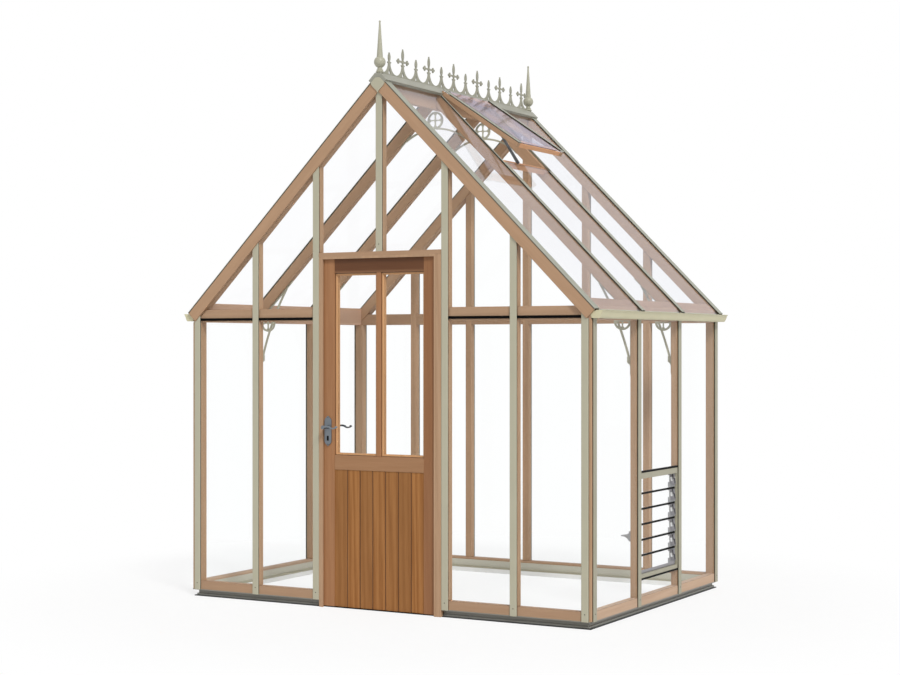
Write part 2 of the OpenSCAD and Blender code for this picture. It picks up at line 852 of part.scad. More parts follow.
module hinge_frame_leaves() color(pewter) {
  for (z = hinge_zs) translate([0, 0, z]) {
    difference() {
      union() {
        leaf_plate(jamb_right - leaf_t, 0, 1);
        knuckle(0, 1 / 3);
        knuckle(2 / 3, 1);
      }
      knuckle_room(1 / 3, 2 / 3);
    }
    translate([hinge_x, hinge_y, 0]) cylinder(h = hinge_h, r = pin_r);
  }
}

module hinge_door_leaves() color(pewter) {
  for (z = hinge_zs) translate([0, 0, z]) difference() {
    union() {
      leaf_plate(door_right, 0, 1);
      knuckle(1 / 3 + 0.01, 2 / 3 - 0.01);
    }
    knuckle_room(0, 1 / 3);
    knuckle_room(2 / 3, 1);
    translate([hinge_x, hinge_y, -1]) cylinder(h = hinge_h + 2, r = pin_r + running);
  }
}

module louvre_jambs() color(sage) {
  both_y() block(wall_x - louvre_d, wall_x, louvre_half - channel_w, louvre_half, louvre_low, louvre_high);
}

module louvre_rails() color(sage) {
  reach = louvre_half - channel_w;
  block(wall_x - louvre_d, wall_x, -reach, reach, louvre_low, louvre_low + louvre_foot);
  block(wall_x - louvre_d, wall_x, -reach, reach, louvre_high - louvre_head, louvre_high);
}

// Alloy channels behind the frame, notched between the blade clips
module louvre_channels() color(alloy) {
  back = wall_x - louvre_d - channel_d;
  notch = blade_pitch * 0.45;
  both_y() difference() {
    block(back, wall_x - louvre_d, louvre_half - channel_w, louvre_half, louvre_low, louvre_high);
    for (i = [0:blade_count - 1])
      translate([0, 0, blade_low + (i + 0.5) * blade_pitch])
        block(back - 1, back + channel_d * 0.2, 0, louvre_half + 1, -notch / 2, notch / 2);
  }
}

module louvre_blades() color(clear) {
  reach = louvre_half - channel_w;
  half = (blade_pitch + blade_lap) / 2;
  for (i = [0:blade_count - 1])
    translate([wall_x - louvre_d - channel_d * 0.3, 0, blade_low + (i + 0.5) * blade_pitch])
      rotate([0, -blade_tilt, 0]) block(-glass_t / 2, glass_t / 2, -reach, reach, -half, half);
}

// Operating handle on the channel nearer the door: a boss and a tapered arm
module louvre_handle() color(alloy) {
  z = louvre_z + louvre_h * 0.4;
  x = wall_x - louvre_d - channel_d;
  boss = handle_boss;
  translate([0, channel_w / 2 - louvre_half, 0]) {
    block(x - boss, x, -channel_w / 2, channel_w / 2, z - boss * 2, z + boss * 2);
    translate([x - boss, 0, z]) across(-channel_w * 0.4, channel_w * 0.4)
      polygon([[2, boss * 1.3], [-handle_len * 0.3, boss * 0.75], [-handle_len, boss * 0.4],
        [-handle_len * 1.06, -boss * 0.1], [-handle_len * 0.6, -boss * 0.2], [-handle_len * 0.3, -boss * 0.7],
        [2, -boss * 1.9]]);
  }
}

// Trimmer with a rounded upper edge under the foot of the vent
module vent_trimmer() color(cedar) {
  reach = side_bar_y - bar_w / 2;
  on_slope() across(-reach, reach) {
    translate([trimmer_s, -trimmer_d]) square([trimmer_w, trimmer_d - trimmer_r]);
    translate([trimmer_s + trimmer_r, -trimmer_d]) square([trimmer_w - trimmer_r, trimmer_d]);
    translate([trimmer_s + trimmer_r, -trimmer_r]) circle(trimmer_r);
  }
}

// Draws on the open vent: X runs down it from its pivot, Z stands off it
module on_vent() {
  p = on_roof(vent_pivot_s, vent_pivot_o);
  translate([p[0], 0, p[1]]) rotate([0, roof_pitch - vent_open, 0]) children();
}

module vent_hinge() color(alloy) {
  on_vent() translate([0, vent_half, 0]) rotate([90, 0, 0]) cylinder(h = 2 * vent_half, r = vent_pivot_r);
}

module vent_stiles() color(cedar) {
  both_y() on_vent()
    block(vent_pivot_r, vent_len, vent_half - vent_rail, vent_half, -vent_t / 2, vent_t / 2);
}

module vent_rails() color(cedar) {
  reach = vent_half - vent_rail;
  on_vent() for (u = [vent_pivot_r, vent_len - vent_rail])
    block(u, u + vent_rail, -reach, reach, -vent_t / 2, vent_t / 2);
}

// Painted caps over the edges of the vent's pane
module vent_caps() color(sage) {
  low = vent_t / 2 + glass_t + 2 * seat;
  both_y() on_vent() block(vent_pivot_r, vent_len, vent_half - vent_rail, vent_half, low, low + vent_cap_t);
}

// The vent's pane lies over its rails and stiles
module vent_glass() color(clear) {
  reach = vent_half - pane_gap;
  low = vent_t / 2 + seat;
  on_vent() block(vent_pivot_r, vent_len - 2, -reach, reach, low, low + glass_t);
}

// Folding stay from the trimmer, up to its elbow and back to the lower rail of the vent
module vent_opener() color(alloy) {
  s0 = trimmer_s + trimmer_r;
  s1 = trimmer_s + trimmer_w - trimmer_lap - 2;
  elbow = s0 - opener_reach;
  bend = elbow + opener_w * 3;
  grip = vent_pivot_s + (vent_len - vent_rail) * cos(vent_open) + vent_rail / 4;
  on_slope() across(-opener_off - opener_t / 2, opener_t / 2 - opener_off)
    polygon([[s0, seat], [s1, seat], [s1, opener_h], vent_under(bend) - [0, opener_w * 1.7],
      vent_under(grip + vent_rail / 2), vent_under(grip), vent_under(elbow) - [0, opener_w * 0.5],
      vent_under(elbow) - [0, opener_w * 1.5]]);
}

// Arm of the ring's cross, spread at its outer end
module ring_arm() {
  reach = ring_r - casting_w / 2;
  slim = casting_w * 0.28;
  polygon([[0, -slim], [reach * 0.62, -slim], [reach * 0.84, -casting_w], [reach, -slim * 2],
    [reach, slim * 2], [reach * 0.84, casting_w], [reach * 0.62, slim], [0, slim]]);
}

// Ring with a cross, in X and Z about the given point
module cast_ring(p) {
  translate(p) {
    difference() {
      circle(ring_r);
      circle(ring_r - casting_w);
    }
    for (turn = [0:90:270]) rotate(turn) ring_arm();
    circle(casting_w * 0.7);
  }
}

// What lies under the rafters of both slopes, in X and Z
module rafter_room() {
  far = wall_x * 2;
  o = -rafter_d - seat;
  polygon([[-far, -far], [far, -far], [far, roof_z(far, o)], [0, roof_z(0, o)], [-far, roof_z(far, o)]]);
}

// Foot that lies along the underside of a rafter from x0 to x1
module rafter_foot(x0, x1) {
  polygon([[x0, roof_z(x0, -rafter_d - seat)], [x1, roof_z(x1, -rafter_d - seat)],
    [x1, roof_z(x1, -rafter_d) - casting_w], [x0, roof_z(x0, -rafter_d) - casting_w]]);
}

module ridge_casting() {
  ring_z = roof_z(0, -rafter_d) - ridge_ring_drop;
  foot_x = ridge_span - ridge_foot / 2;
  foot_z = roof_z(foot_x, -rafter_d - casting_w * 0.55);
  root = [casting_w / 2, ring_z - ring_r + casting_w / 4];
  middle = [foot_x * 0.47, ring_z - ring_r - casting_w];
  cast_ring([0, ring_z]);
  for (side = [0, 1]) mirror([side, 0]) {
    rafter_foot(ridge_span - ridge_foot, ridge_span);
    intersection() {
      arc_bar(root, middle, [foot_x, foot_z], casting_w);
      rafter_room();
    }
  }
}

module ridge_spandrels() color(sage) {
  both_y() across(side_bar_y - spandrel_t / 2, side_bar_y + spandrel_t / 2) ridge_casting();
}

module eave_casting() {
  plate = casting_w * 0.8;
  knee = roof_z(plate_in, -rafter_d);
  low = knee - eave_span_h;
  rafter_x = plate_in - eave_span_w;
  strut_x = plate_in - eave_span_w * 0.82;
  strut_top = [strut_x, roof_z(strut_x, -rafter_d) - plate];
  strut_foot = [plate_in - plate / 2, low + eave_span_h * 0.15];
  strut_mid = (strut_top + strut_foot) / 2 + [plate * 2, plate];
  polygon([[plate_in, low], [plate_in, knee], [rafter_x, roof_z(rafter_x, -rafter_d - seat)],
    [rafter_x, roof_z(rafter_x, -rafter_d) - plate * 1.4], [plate_in - plate, knee - plate * 0.4],
    [plate_in - plate, low]]);
  cast_ring([plate_in - ring_r - plate / 2, knee - ring_r * 0.52]);
  intersection() {
    arc_bar(strut_foot, strut_mid, strut_top, casting_w);
    square([plate_in - 1, apex_z]);
  }
}

module eave_spandrels() color(sage) {
  both_x() both_y() across(side_bar_y - spandrel_t / 2, side_bar_y + spandrel_t / 2) eave_casting();
}

module door_stiles() color(board_brown) {
  difference() {
    block(door_left, door_left + stile_w, door_y, door_back, door_foot_gap, door_top);
    translate([lever_x, door_back + 1, lever_z]) rotate([90, 0, 0]) cylinder(h = door_t + 2, r = 7);
  }
  block(door_right - stile_w, door_right, door_y, door_back, door_foot_gap, door_top);
}

module door_rails() color(board_brown) {
  x0 = door_left + stile_w;
  x1 = door_right - stile_w;
  block(x0, x1, door_y, door_back, door_top - top_rail_h, door_top);
  block(x0, x1, door_y, door_back, mid_rail_z, mid_rail_z + mid_rail_h);
  block(x0, x1, door_y + board_recess + board_t, door_back, door_foot_gap, door_foot_gap + ledge_h);
}

module door_muntin() color(board_brown) {
  block(door_mid_x - muntin_w / 2, door_mid_x + muntin_w / 2, door_y, door_back,
    mid_rail_z + mid_rail_h, door_top - top_rail_h);
}

// Boards of the lower door, with a groove at each joint
module door_panel() color(board_brown) {
  x0 = door_left + stile_w;
  width = door_right - door_left - 2 * stile_w;
  pitch = width / board_count;
  face = door_y + board_recess;
  joints = [for (i = [1:board_count - 1])
    each [[x0 + i * pitch - groove, face], [x0 + i * pitch, face + groove], [x0 + i * pitch + groove, face]]];
  translate([0, 0, door_foot_gap]) linear_extrude(mid_rail_z - door_foot_gap)
    polygon(concat([[x0, face]], joints, [[x0 + width, face], [x0 + width, face + board_t],
      [x0, face + board_t]]));
}

module door_glass() color(clear) {
  z0 = mid_rail_z + mid_rail_h;
  z1 = door_top - top_rail_h;
  block(door_left + stile_w, door_mid_x - muntin_w / 2, pane_y, pane_y + glass_t, z0, z1);
  block(door_mid_x + muntin_w / 2, door_right - stile_w, pane_y, pane_y + glass_t, z0, z1);
}

// Long plate with round shoulders and small round ends, about the lever's axis
module plate_outline() {
  drop = plate_h * 0.13;
  end = plate_h / 2 - plate_w / 2 - 6;
  translate([0, -drop]) {
    square([plate_w, 2 * end], center = true);
    for (side = [-1, 1]) {
      translate([0, side * end]) circle(plate_w / 2);
      translate([0, side * (plate_h / 2 - 8)]) circle(8);
    }
  }
}

module handle_plate() {
  drop = plate_h * 0.37;
  difference() {
    across(-plate_t, 0) plate_outline();
    across(-plate_t - 1, 1) {
      circle(10 + running);
      translate([0, -drop]) circle(4.5);
      translate([-2, -drop - 13]) square([4, 13]);
    }
  }
}

module handle_plates() color(pewter) {
  translate([lever_x, door_y, lever_z]) handle_plate();
  translate([lever_x, door_back, lever_z]) mirror([0, 1, 0]) handle_plate();
}

// Lever drawn as two swept curves that end in a small round scroll
module lever_outline() {
  circle(11);
  arc_bar([0, 0], [lever_len * 0.28, 6], [lever_len * 0.55, 1], 10);
  arc_bar([lever_len * 0.5, 2.5], [lever_len * 0.72, -5], [lever_len - 6, 2], 8);
  translate([lever_len - 6, 3]) circle(6);
}

module door_lever() color(pewter) {
  hub = plate_t + lever_stand;
  translate([lever_x, door_y, lever_z]) {
    across(-hub - 10, -hub) lever_outline();
    across(-hub, -0.5) circle(10);
    across(-0.5, door_t + 0.5) circle(5);
    across(door_t + 0.5, door_t + hub) circle(10);
    across(door_t + hub, door_t + hub + 10) lever_outline();
  }
}

base_plinth();
sills();
sill_facings();
corner_posts();
front_bars();
rear_bars();
side_bars();
tie_rails();
eaves_plates();
rafters();
ridge_board();
barge_boards();
ridge_cap();
ridge_cresting();
finials();
apex_plates();
gutters();
front_caps();
rear_caps();
side_caps();
roof_caps();
front_glass();
rear_glass();
side_glass();
roof_glass();
glazing_strips();
door_jambs();
door_head();
door_stops();
hinge_frame_leaves();
louvre_jambs();
louvre_rails();
louvre_channels();
louvre_blades();
louvre_handle();
vent_trimmer();
vent_hinge();
vent_stiles();
vent_rails();
vent_caps();
vent_glass();
vent_opener();
ridge_spandrels();
eave_spandrels();
door_stiles();
door_rails();
door_muntin();
door_panel();
door_glass();
handle_plates();
hinge_door_leaves();
door_lever();
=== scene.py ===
import math
import bmesh
import bpy
from mathutils import Matrix, Vector


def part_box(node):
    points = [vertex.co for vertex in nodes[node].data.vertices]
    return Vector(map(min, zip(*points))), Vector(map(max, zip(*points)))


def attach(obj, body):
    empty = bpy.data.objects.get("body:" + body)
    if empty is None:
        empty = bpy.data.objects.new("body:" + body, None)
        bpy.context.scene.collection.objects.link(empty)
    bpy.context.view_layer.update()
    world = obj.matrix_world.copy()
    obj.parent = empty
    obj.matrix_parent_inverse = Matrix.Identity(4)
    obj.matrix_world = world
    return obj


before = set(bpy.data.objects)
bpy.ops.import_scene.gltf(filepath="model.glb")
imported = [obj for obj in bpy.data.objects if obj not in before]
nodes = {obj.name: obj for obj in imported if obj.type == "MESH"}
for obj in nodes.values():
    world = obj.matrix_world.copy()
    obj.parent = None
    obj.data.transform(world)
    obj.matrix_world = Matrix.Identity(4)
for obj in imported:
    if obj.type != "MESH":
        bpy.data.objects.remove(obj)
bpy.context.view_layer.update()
scene = bpy.context.scene
print("greenhouse frame loaded:", len(nodes), "nodes")

# Sizes in metres: these follow the bars and caps, the rest are read from the frame
house = {
    "pane": 0.004, "lean": math.radians(45),
    "barX": (0.424, 0.848, 1.272), "barY": 0.2985, "cornerY": 0.8955, "capW": 0.042,
    "vergeY": 0.9175, "vergeW": 0.058, "ridgeCap": 0.060, "bargeLow": 0.063, "ventFoot": 0.652,
}
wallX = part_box("side_glass")[1].x
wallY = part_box("rear_glass")[1].y
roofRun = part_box("roof_glass")[1].x - house["pane"] * math.sin(house["lean"])
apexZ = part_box("roof_glass")[0].z + roofRun * math.tan(house["lean"])
slopeEnd = roofRun / math.cos(house["lean"])
sideCapLow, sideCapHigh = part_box("side_caps")
capT = sideCapHigh.x - wallX
capFoot = sideCapLow.z
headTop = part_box("door_head")[1].z

view = {"place": (5.160, -9.311, 1.501), "turn": 29.309, "lens": 69.99, "shiftY": 0.00796,
        "sensor": 36, "far": 200}
cameraData = bpy.data.cameras.new("photoCamera")
cameraData.sensor_width = view["sensor"]
cameraData.lens = view["lens"]
cameraData.shift_y = view["shiftY"]
cameraData.clip_end = view["far"]
camera = bpy.data.objects.new("photoCamera", cameraData)
camera.location = view["place"]
camera.rotation_euler = (math.radians(90), 0, math.radians(view["turn"]))
scene.collection.objects.link(camera)
scene.camera = camera
print("camera set")


def tone(r, g, b):
    # screen colour, 0 to 255, to the shader's linear colour
    flat = [c / 255 for c in (r, g, b)]
    return tuple(c / 12.92 if c <= 0.04045 else ((c + 0.055) / 1.055) ** 2.4 for c in flat) + (1,)


def addNode(tree, kind, at=(0, 0), **values):
    made = tree.nodes.new(kind)
    made.location = at
    for key, value in values.items():
        setattr(made, key, value)
    return made


def fill(made, values):
    for key, value in values.items():
        made.inputs[key].default_value = value


def split(tree, vector, at=(0, 0)):
    made = addNode(tree, "ShaderNodeSeparateXYZ", at)
    tree.links.new(vector, made.inputs[0])
    return made.outputs


def mathNode(tree, operation, first, second=None, clamp=False):
    made = addNode(tree, "ShaderNodeMath", operation=operation, use_clamp=clamp)
    for socket, value in zip(made.inputs, (first, second)):
        if isinstance(value, (int, float)):
            socket.default_value = value
        elif value is not None:
            tree.links.new(value, socket)
    return made.outputs[0]


def mixColour(tree, amount, first, second, blend="MIX"):
    made = addNode(tree, "ShaderNodeMix", data_type="RGBA", blend_type=blend)
    for socket, value in ((made.inputs[0], amount), (made.inputs[6], first), (made.inputs[7], second)):
        if isinstance(value, (int, float, tuple)):
            socket.default_value = value
        else:
            tree.links.new(value, socket)
    return made.outputs[2]


def mixShaders(tree, amount, first, second, at=(0, 0)):
    made = addNode(tree, "ShaderNodeMixShader", at)
    for socket, value in zip(made.inputs, (amount, first, second)):
        tree.links.new(value, socket)
    return made.outputs[0]


def newGroup(name, inputs):
    tree = bpy.data.node_groups.new(name, "ShaderNodeTree")
    for label, kind, value in inputs:
        socket = tree.interface.new_socket(name=label, in_out="INPUT", socket_type=kind)
        if value is not None:
            socket.default_value = value
    outputs = (("Color", "NodeSocketColor"), ("Roughness", "NodeSocketFloat"), ("Height", "NodeSocketFloat"))
    for label, kind in outputs:
        tree.interface.new_socket(name=label, in_out="OUTPUT", socket_type=kind)
    return tree, addNode(tree, "NodeGroupInput"), addNode(tree, "NodeGroupOutput")


# Cedar grain that runs along the third axis of the vector it is given
grain = {
    "board": 0.11, "figure": 0.16, "spread": (3, 3, 5), "stretch": (1, 1, 0.03),
    "fibre": {"Scale": 210, "Detail": 5, "Roughness": 0.62}, "fibreShare": 0.7,
    "rings": {"Scale": 15, "Distortion": 7, "Detail": 3, "Detail Scale": 1.4},
    "cloud": {"Scale": 2.2, "Detail": 2}, "cloudShare": 0.16,
    "lift": 0.06, "bright": 0.92, "rough": 0.46, "roughRange": 0.22, "bump": 0.3, "gloss": 0.3,
}
grainTree, grainIn, grainOut = newGroup(
    "cedarGrain",
    [("Vector", "NodeSocketVector", None), ("Pale", "NodeSocketColor", tone(184, 148, 118)),
     ("Deep", "NodeSocketColor", tone(146, 104, 74)), ("Board Width", "NodeSocketFloat", grain["board"]),
     ("Board Shift", "NodeSocketFloat", 0.0), ("Variety", "NodeSocketFloat", 0.25),
     ("Figure", "NodeSocketFloat", 0.2)])
link = grainTree.links.new
parts = split(grainTree, grainIn.outputs["Vector"])
shifted = mathNode(grainTree, "ADD", parts[0], grainIn.outputs["Board Shift"])
cellX = mathNode(grainTree, "FLOOR", mathNode(grainTree, "DIVIDE", shifted, grainIn.outputs["Board Width"]))
cellY = mathNode(grainTree, "FLOOR", mathNode(grainTree, "DIVIDE", parts[1], grain["board"]))
cells = addNode(grainTree, "ShaderNodeCombineXYZ")
link(cellX, cells.inputs[0])
link(cellY, cells.inputs[1])
pick = addNode(grainTree, "ShaderNodeTexWhiteNoise", noise_dimensions="3D")
link(cells.outputs[0], pick.inputs["Vector"])
# each length of timber starts elsewhere in the grain
spread = addNode(grainTree, "ShaderNodeVectorMath", operation="MULTIPLY_ADD")
link(pick.outputs["Color"], spread.inputs[0])
spread.inputs[1].default_value = grain["spread"]
link(grainIn.outputs["Vector"], spread.inputs[2])
stretch = addNode(grainTree, "ShaderNodeVectorMath", operation="MULTIPLY")
link(spread.outputs[0], stretch.inputs[0])
stretch.inputs[1].default_value = grain["stretch"]
fibre = addNode(grainTree, "ShaderNodeTexNoise", noise_dimensions="3D")
fill(fibre, grain["fibre"])
link(stretch.outputs[0], fibre.inputs["Vector"])
rings = addNode(grainTree, "ShaderNodeTexWave", wave_type="BANDS", bands_direction="DIAGONAL")
fill(rings, grain["rings"])
link(stretch.outputs[0], rings.inputs["Vector"])
cloud = addNode(grainTree, "ShaderNodeTexNoise", noise_dimensions="3D")
fill(cloud, grain["cloud"])
link(spread.outputs[0], cloud.inputs["Vector"])
# rings and fibres together choose between the pale and the deep tone
weight = mathNode(grainTree, "ADD", pick.outputs["Value"], 0.5)
weight = mathNode(grainTree, "MULTIPLY", grainIn.outputs["Figure"], weight)
figure = mathNode(grainTree, "MULTIPLY", rings.outputs["Fac"], weight)
fibres = mathNode(grainTree, "MULTIPLY", fibre.outputs["Fac"], grain["fibreShare"])
figure = mathNode(grainTree, "ADD", figure, fibres)
figure = mathNode(grainTree, "SUBTRACT", figure, grain["lift"], clamp=True)
plain = mixColour(grainTree, figure, grainIn.outputs["Pale"], grainIn.outputs["Deep"])
# each length has its own shade, with faint clouds
shade = mathNode(grainTree, "SUBTRACT", pick.outputs["Value"], 0.5)
shade = mathNode(grainTree, "MULTIPLY", shade, grainIn.outputs["Variety"])
clouds = mathNode(grainTree, "MULTIPLY", cloud.outputs["Fac"], grain["cloudShare"])
shade = mathNode(grainTree, "ADD", shade, clouds)
shade = mathNode(grainTree, "ADD", shade, grain["bright"])
tint = addNode(grainTree, "ShaderNodeHueSaturation")
link(plain, tint.inputs["Color"])
link(shade, tint.inputs["Value"])
link(tint.outputs[0], grainOut.inputs["Color"])
rough = mathNode(grainTree, "MULTIPLY", fibre.outputs["Fac"], grain["roughRange"])
link(mathNode(grainTree, "ADD", rough, grain["rough"]), grainOut.inputs["Roughness"])
link(fibre.outputs["Fac"], grainOut.inputs["Height"])

# Satin paint with faint peel and dust
film = {"patches": {"Scale": 6, "Detail": 5}, "peel": {"Scale": 420, "Detail": 2}, "clean": 0.3,
        "rough": 0.34, "roughRange": 0.18, "gloss": 0.5, "metalBump": 0.2}
filmTree, filmIn, filmOut = newGroup(
    "paintFilm",
    [("Vector", "NodeSocketVector", None), ("Paint", "NodeSocketColor", tone(178, 175, 152)),
     ("Dust", "NodeSocketColor", tone(150, 146, 126)), ("Dust Amount", "NodeSocketFloat", 0.35)])
link = filmTree.links.new
patches = addNode(filmTree, "ShaderNodeTexNoise", noise_dimensions="3D")
fill(patches, film["patches"])
peel = addNode(filmTree, "ShaderNodeTexNoise", noise_dimensions="3D")
fill(peel, film["peel"])
for texture in (patches, peel):
    link(filmIn.outputs["Vector"], texture.inputs["Vector"])
dusty = mathNode(filmTree, "SUBTRACT", patches.outputs["Fac"], film["clean"], clamp=True)
dusty = mathNode(filmTree, "MULTIPLY", dusty, filmIn.outputs["Dust Amount"])
link(mixColour(filmTree, dusty, filmIn.outputs["Paint"], filmIn.outputs["Dust"]), filmOut.inputs["Color"])
rough = mathNode(filmTree, "MULTIPLY", patches.outputs["Fac"], film["roughRange"])
link(mathNode(filmTree, "ADD", rough, film["rough"]), filmOut.inputs["Roughness"])
link(peel.outputs["Fac"], filmOut.inputs["Height"])
print("shared finishes made")

reliefDeep = 0.001


def newMaterial(name):
    material = bpy.data.materials.new(name)
    material.use_nodes = True
    tree = material.node_tree
    tree.nodes.clear()
    shader = addNode(tree, "ShaderNodeBsdfPrincipled", (300, 0))
    out = addNode(tree, "ShaderNodeOutputMaterial", (600, 0))
    tree.links.new(shader.outputs[0], out.inputs[0])
    coords = addNode(tree, "ShaderNodeTexCoord", (-900, 0))
    return material, tree, shader, coords.outputs["Object"]


def placeGroup(tree, shader, group, vector, values, bump):
    made = addNode(tree, "ShaderNodeGroup", (-200, 0), node_tree=group)
    tree.links.new(vector, made.inputs["Vector"])
    fill(made, values)
    tree.links.new(made.outputs["Color"], shader.inputs["Base Color"])
    tree.links.new(made.outputs["Roughness"], shader.inputs["Roughness"])
    relief = addNode(tree, "ShaderNodeBump", (50, -250))
    fill(relief, {"Strength": bump, "Distance": reliefDeep})
    tree.links.new(made.outputs["Height"], relief.inputs["Height"])
    tree.links.new(relief.outputs[0], shader.inputs["Normal"])
    return made.outputs["Color"]


def turned(tree, vector, degrees):
    mapping = addNode(tree, "ShaderNodeMapping", (-500, 0))
    mapping.inputs["Rotation"].default_value = [math.radians(d) for d in degrees]
    tree.links.new(vector, mapping.inputs["Vector"])
    return mapping.outputs[0]


def folded(tree, vector):
    # both halves of the roof read the same grain
    apart = split(tree, vector, (-800, 200))
    joined = addNode(tree, "ShaderNodeCombineXYZ", (-650, 200))
    tree.links.new(mathNode(tree, "ABSOLUTE", apart[0]), joined.inputs[0])
    tree.links.new(apart[1], joined.inputs[1])
    tree.links.new(apart[2], joined.inputs[2])
    return joined.outputs[0]


def beyond(tree, vector, axis, start, stop):
    # mask that rises from 0 to 1 between two places along an axis
    ramp = addNode(tree, "ShaderNodeMapRange", (-500, -300))
    tree.links.new(split(tree, vector, (-700, -300))[axis], ramp.inputs["Value"])
    fill(ramp, {"From Min": start, "From Max": stop})
    return ramp.outputs[0]


# painted shade: darkens the timber colour through a mask
def addPaintedShade(tree, shader, wood, mask, shade):
    shadedWood = mixColour(tree, mask, wood, tone(*shade), "MULTIPLY")
    tree.links.new(shadedWood, shader.inputs["Base Color"])


timber = {
    "cedarUpright": {"turn": (0, 0, 0), "pale": (184, 152, 122), "deep": (156, 120, 90), "variety": 0.14},
    "cedarAcross": {"turn": (0, 90, 0), "pale": (181, 148, 119), "deep": (153, 118, 88), "variety": 0.1},
    "cedarLong": {"turn": (90, 0, 0), "pale": (186, 152, 122), "deep": (157, 120, 91), "variety": 0.1},
    # painted light: a paler copy of the cedar for the eaves plates, for sun on them
    "cedarEavesLit": {"turn": (90, 0, 0), "pale": (204, 170, 146), "deep": (174, 138, 114), "variety": 0.1},
    # painted light: a paler copy of the cedar for the vent trimmer and rails, against the open vent's shade
    "cedarTrimmerLit": {"turn": (90, 0, 0), "pale": (226, 172, 130), "deep": (204, 146, 104), "variety": 0.08},
    "cedarSlope": {"turn": (0, 45, 0), "pale": (183, 149, 119), "deep": (159, 123, 93), "variety": 0.08,
                   "fold": True, "figure": 0.08},
    # painted shade: the right stile is darkened towards the jamb's shadow
    "doorUpright": {"turn": (0, 0, 0), "pale": (168, 122, 84), "deep": (139, 92, 58), "variety": 0.12,
                    "paintedShade": {"axis": 0, "start": 0.28, "stop": 0.292, "shade": (232, 226, 222)}},
    # painted shade: the top rail is darkened under the shadow of the door head
    "doorAcross": {"turn": (0, 90, 0), "pale": (168, 127, 92), "deep": (141, 100, 67), "variety": 0.1,
                   "paintedShade": {"axis": 2, "start": 1.895, "stop": 1.925, "shade": (162, 141, 126)}},
    "doorBoards": {"turn": (0, 0, 0), "pale": (164, 113, 63), "deep": (123, 75, 29), "variety": 0.3,
                   "board": 0.08414, "shift": 0.3040, "figure": 0.34},
    # painted light: the beads get a paler cedar for the sun along their edges
    "doorBeadLit": {"turn": (0, 0, 0), "pale": (200, 154, 110), "deep": (168, 120, 78), "variety": 0.05},
}


def makeTimber(name):
    look = timber[name]
    material, tree, shader, vector = newMaterial(name)
    along = folded(tree, vector) if look.get("fold") else vector
    along = turned(tree, along, look["turn"])
    values = {"Pale": tone(*look["pale"]), "Deep": tone(*look["deep"]), "Variety": look["variety"],
              "Board Width": look.get("board", grain["board"]), "Board Shift": look.get("shift", 0.0),
              "Figure": look.get("figure", grain["figure"])}
    wood = placeGroup(tree, shader, grainTree, along, values, grain["bump"])
    if "paintedShade" in look:
        paintedShade = look["paintedShade"]
        mask = beyond(tree, vector, paintedShade["axis"], paintedShade["start"], paintedShade["stop"])
        addPaintedShade(tree, shader, wood, mask, paintedShade["shade"])
    shader.inputs["Specular IOR Level"].default_value = grain["gloss"]
    return material


# Sills along the sides have their grain along Y, those across the ends along X, darkened there as painted
# shade
sill = {"pale": (194, 166, 141), "deep": (166, 135, 111), "variety": 0.1, "figure": 0.14, "sideIn": 0.057,
        "endShade": (233, 224, 213)}


def makeSillTimber():
    material, tree, shader, vector = newMaterial("cedarSill")
    across = mathNode(tree, "ABSOLUTE", split(tree, vector, (-800, 300))[0])
    side = mathNode(tree, "GREATER_THAN", across, wallX - sill["sideIn"])
    choose = addNode(tree, "ShaderNodeMix", data_type="VECTOR")
    tree.links.new(side, choose.inputs[0])
    tree.links.new(turned(tree, vector, (0, 90, 0)), choose.inputs[4])
    tree.links.new(turned(tree, vector, (90, 0, 0)), choose.inputs[5])
    values = {"Pale": tone(*sill["pale"]), "Deep": tone(*sill["deep"]), "Variety": sill["variety"],
              "Figure": sill["figure"]}
    wood = placeGroup(tree, shader, grainTree, choose.outputs[1], values, grain["bump"])
    # painted shade on the sills across the ends
    addPaintedShade(tree, shader, wood, mathNode(tree, "SUBTRACT", 1, side), sill["endShade"])
    shader.inputs["Specular IOR Level"].default_value = grain["gloss"]
    return material


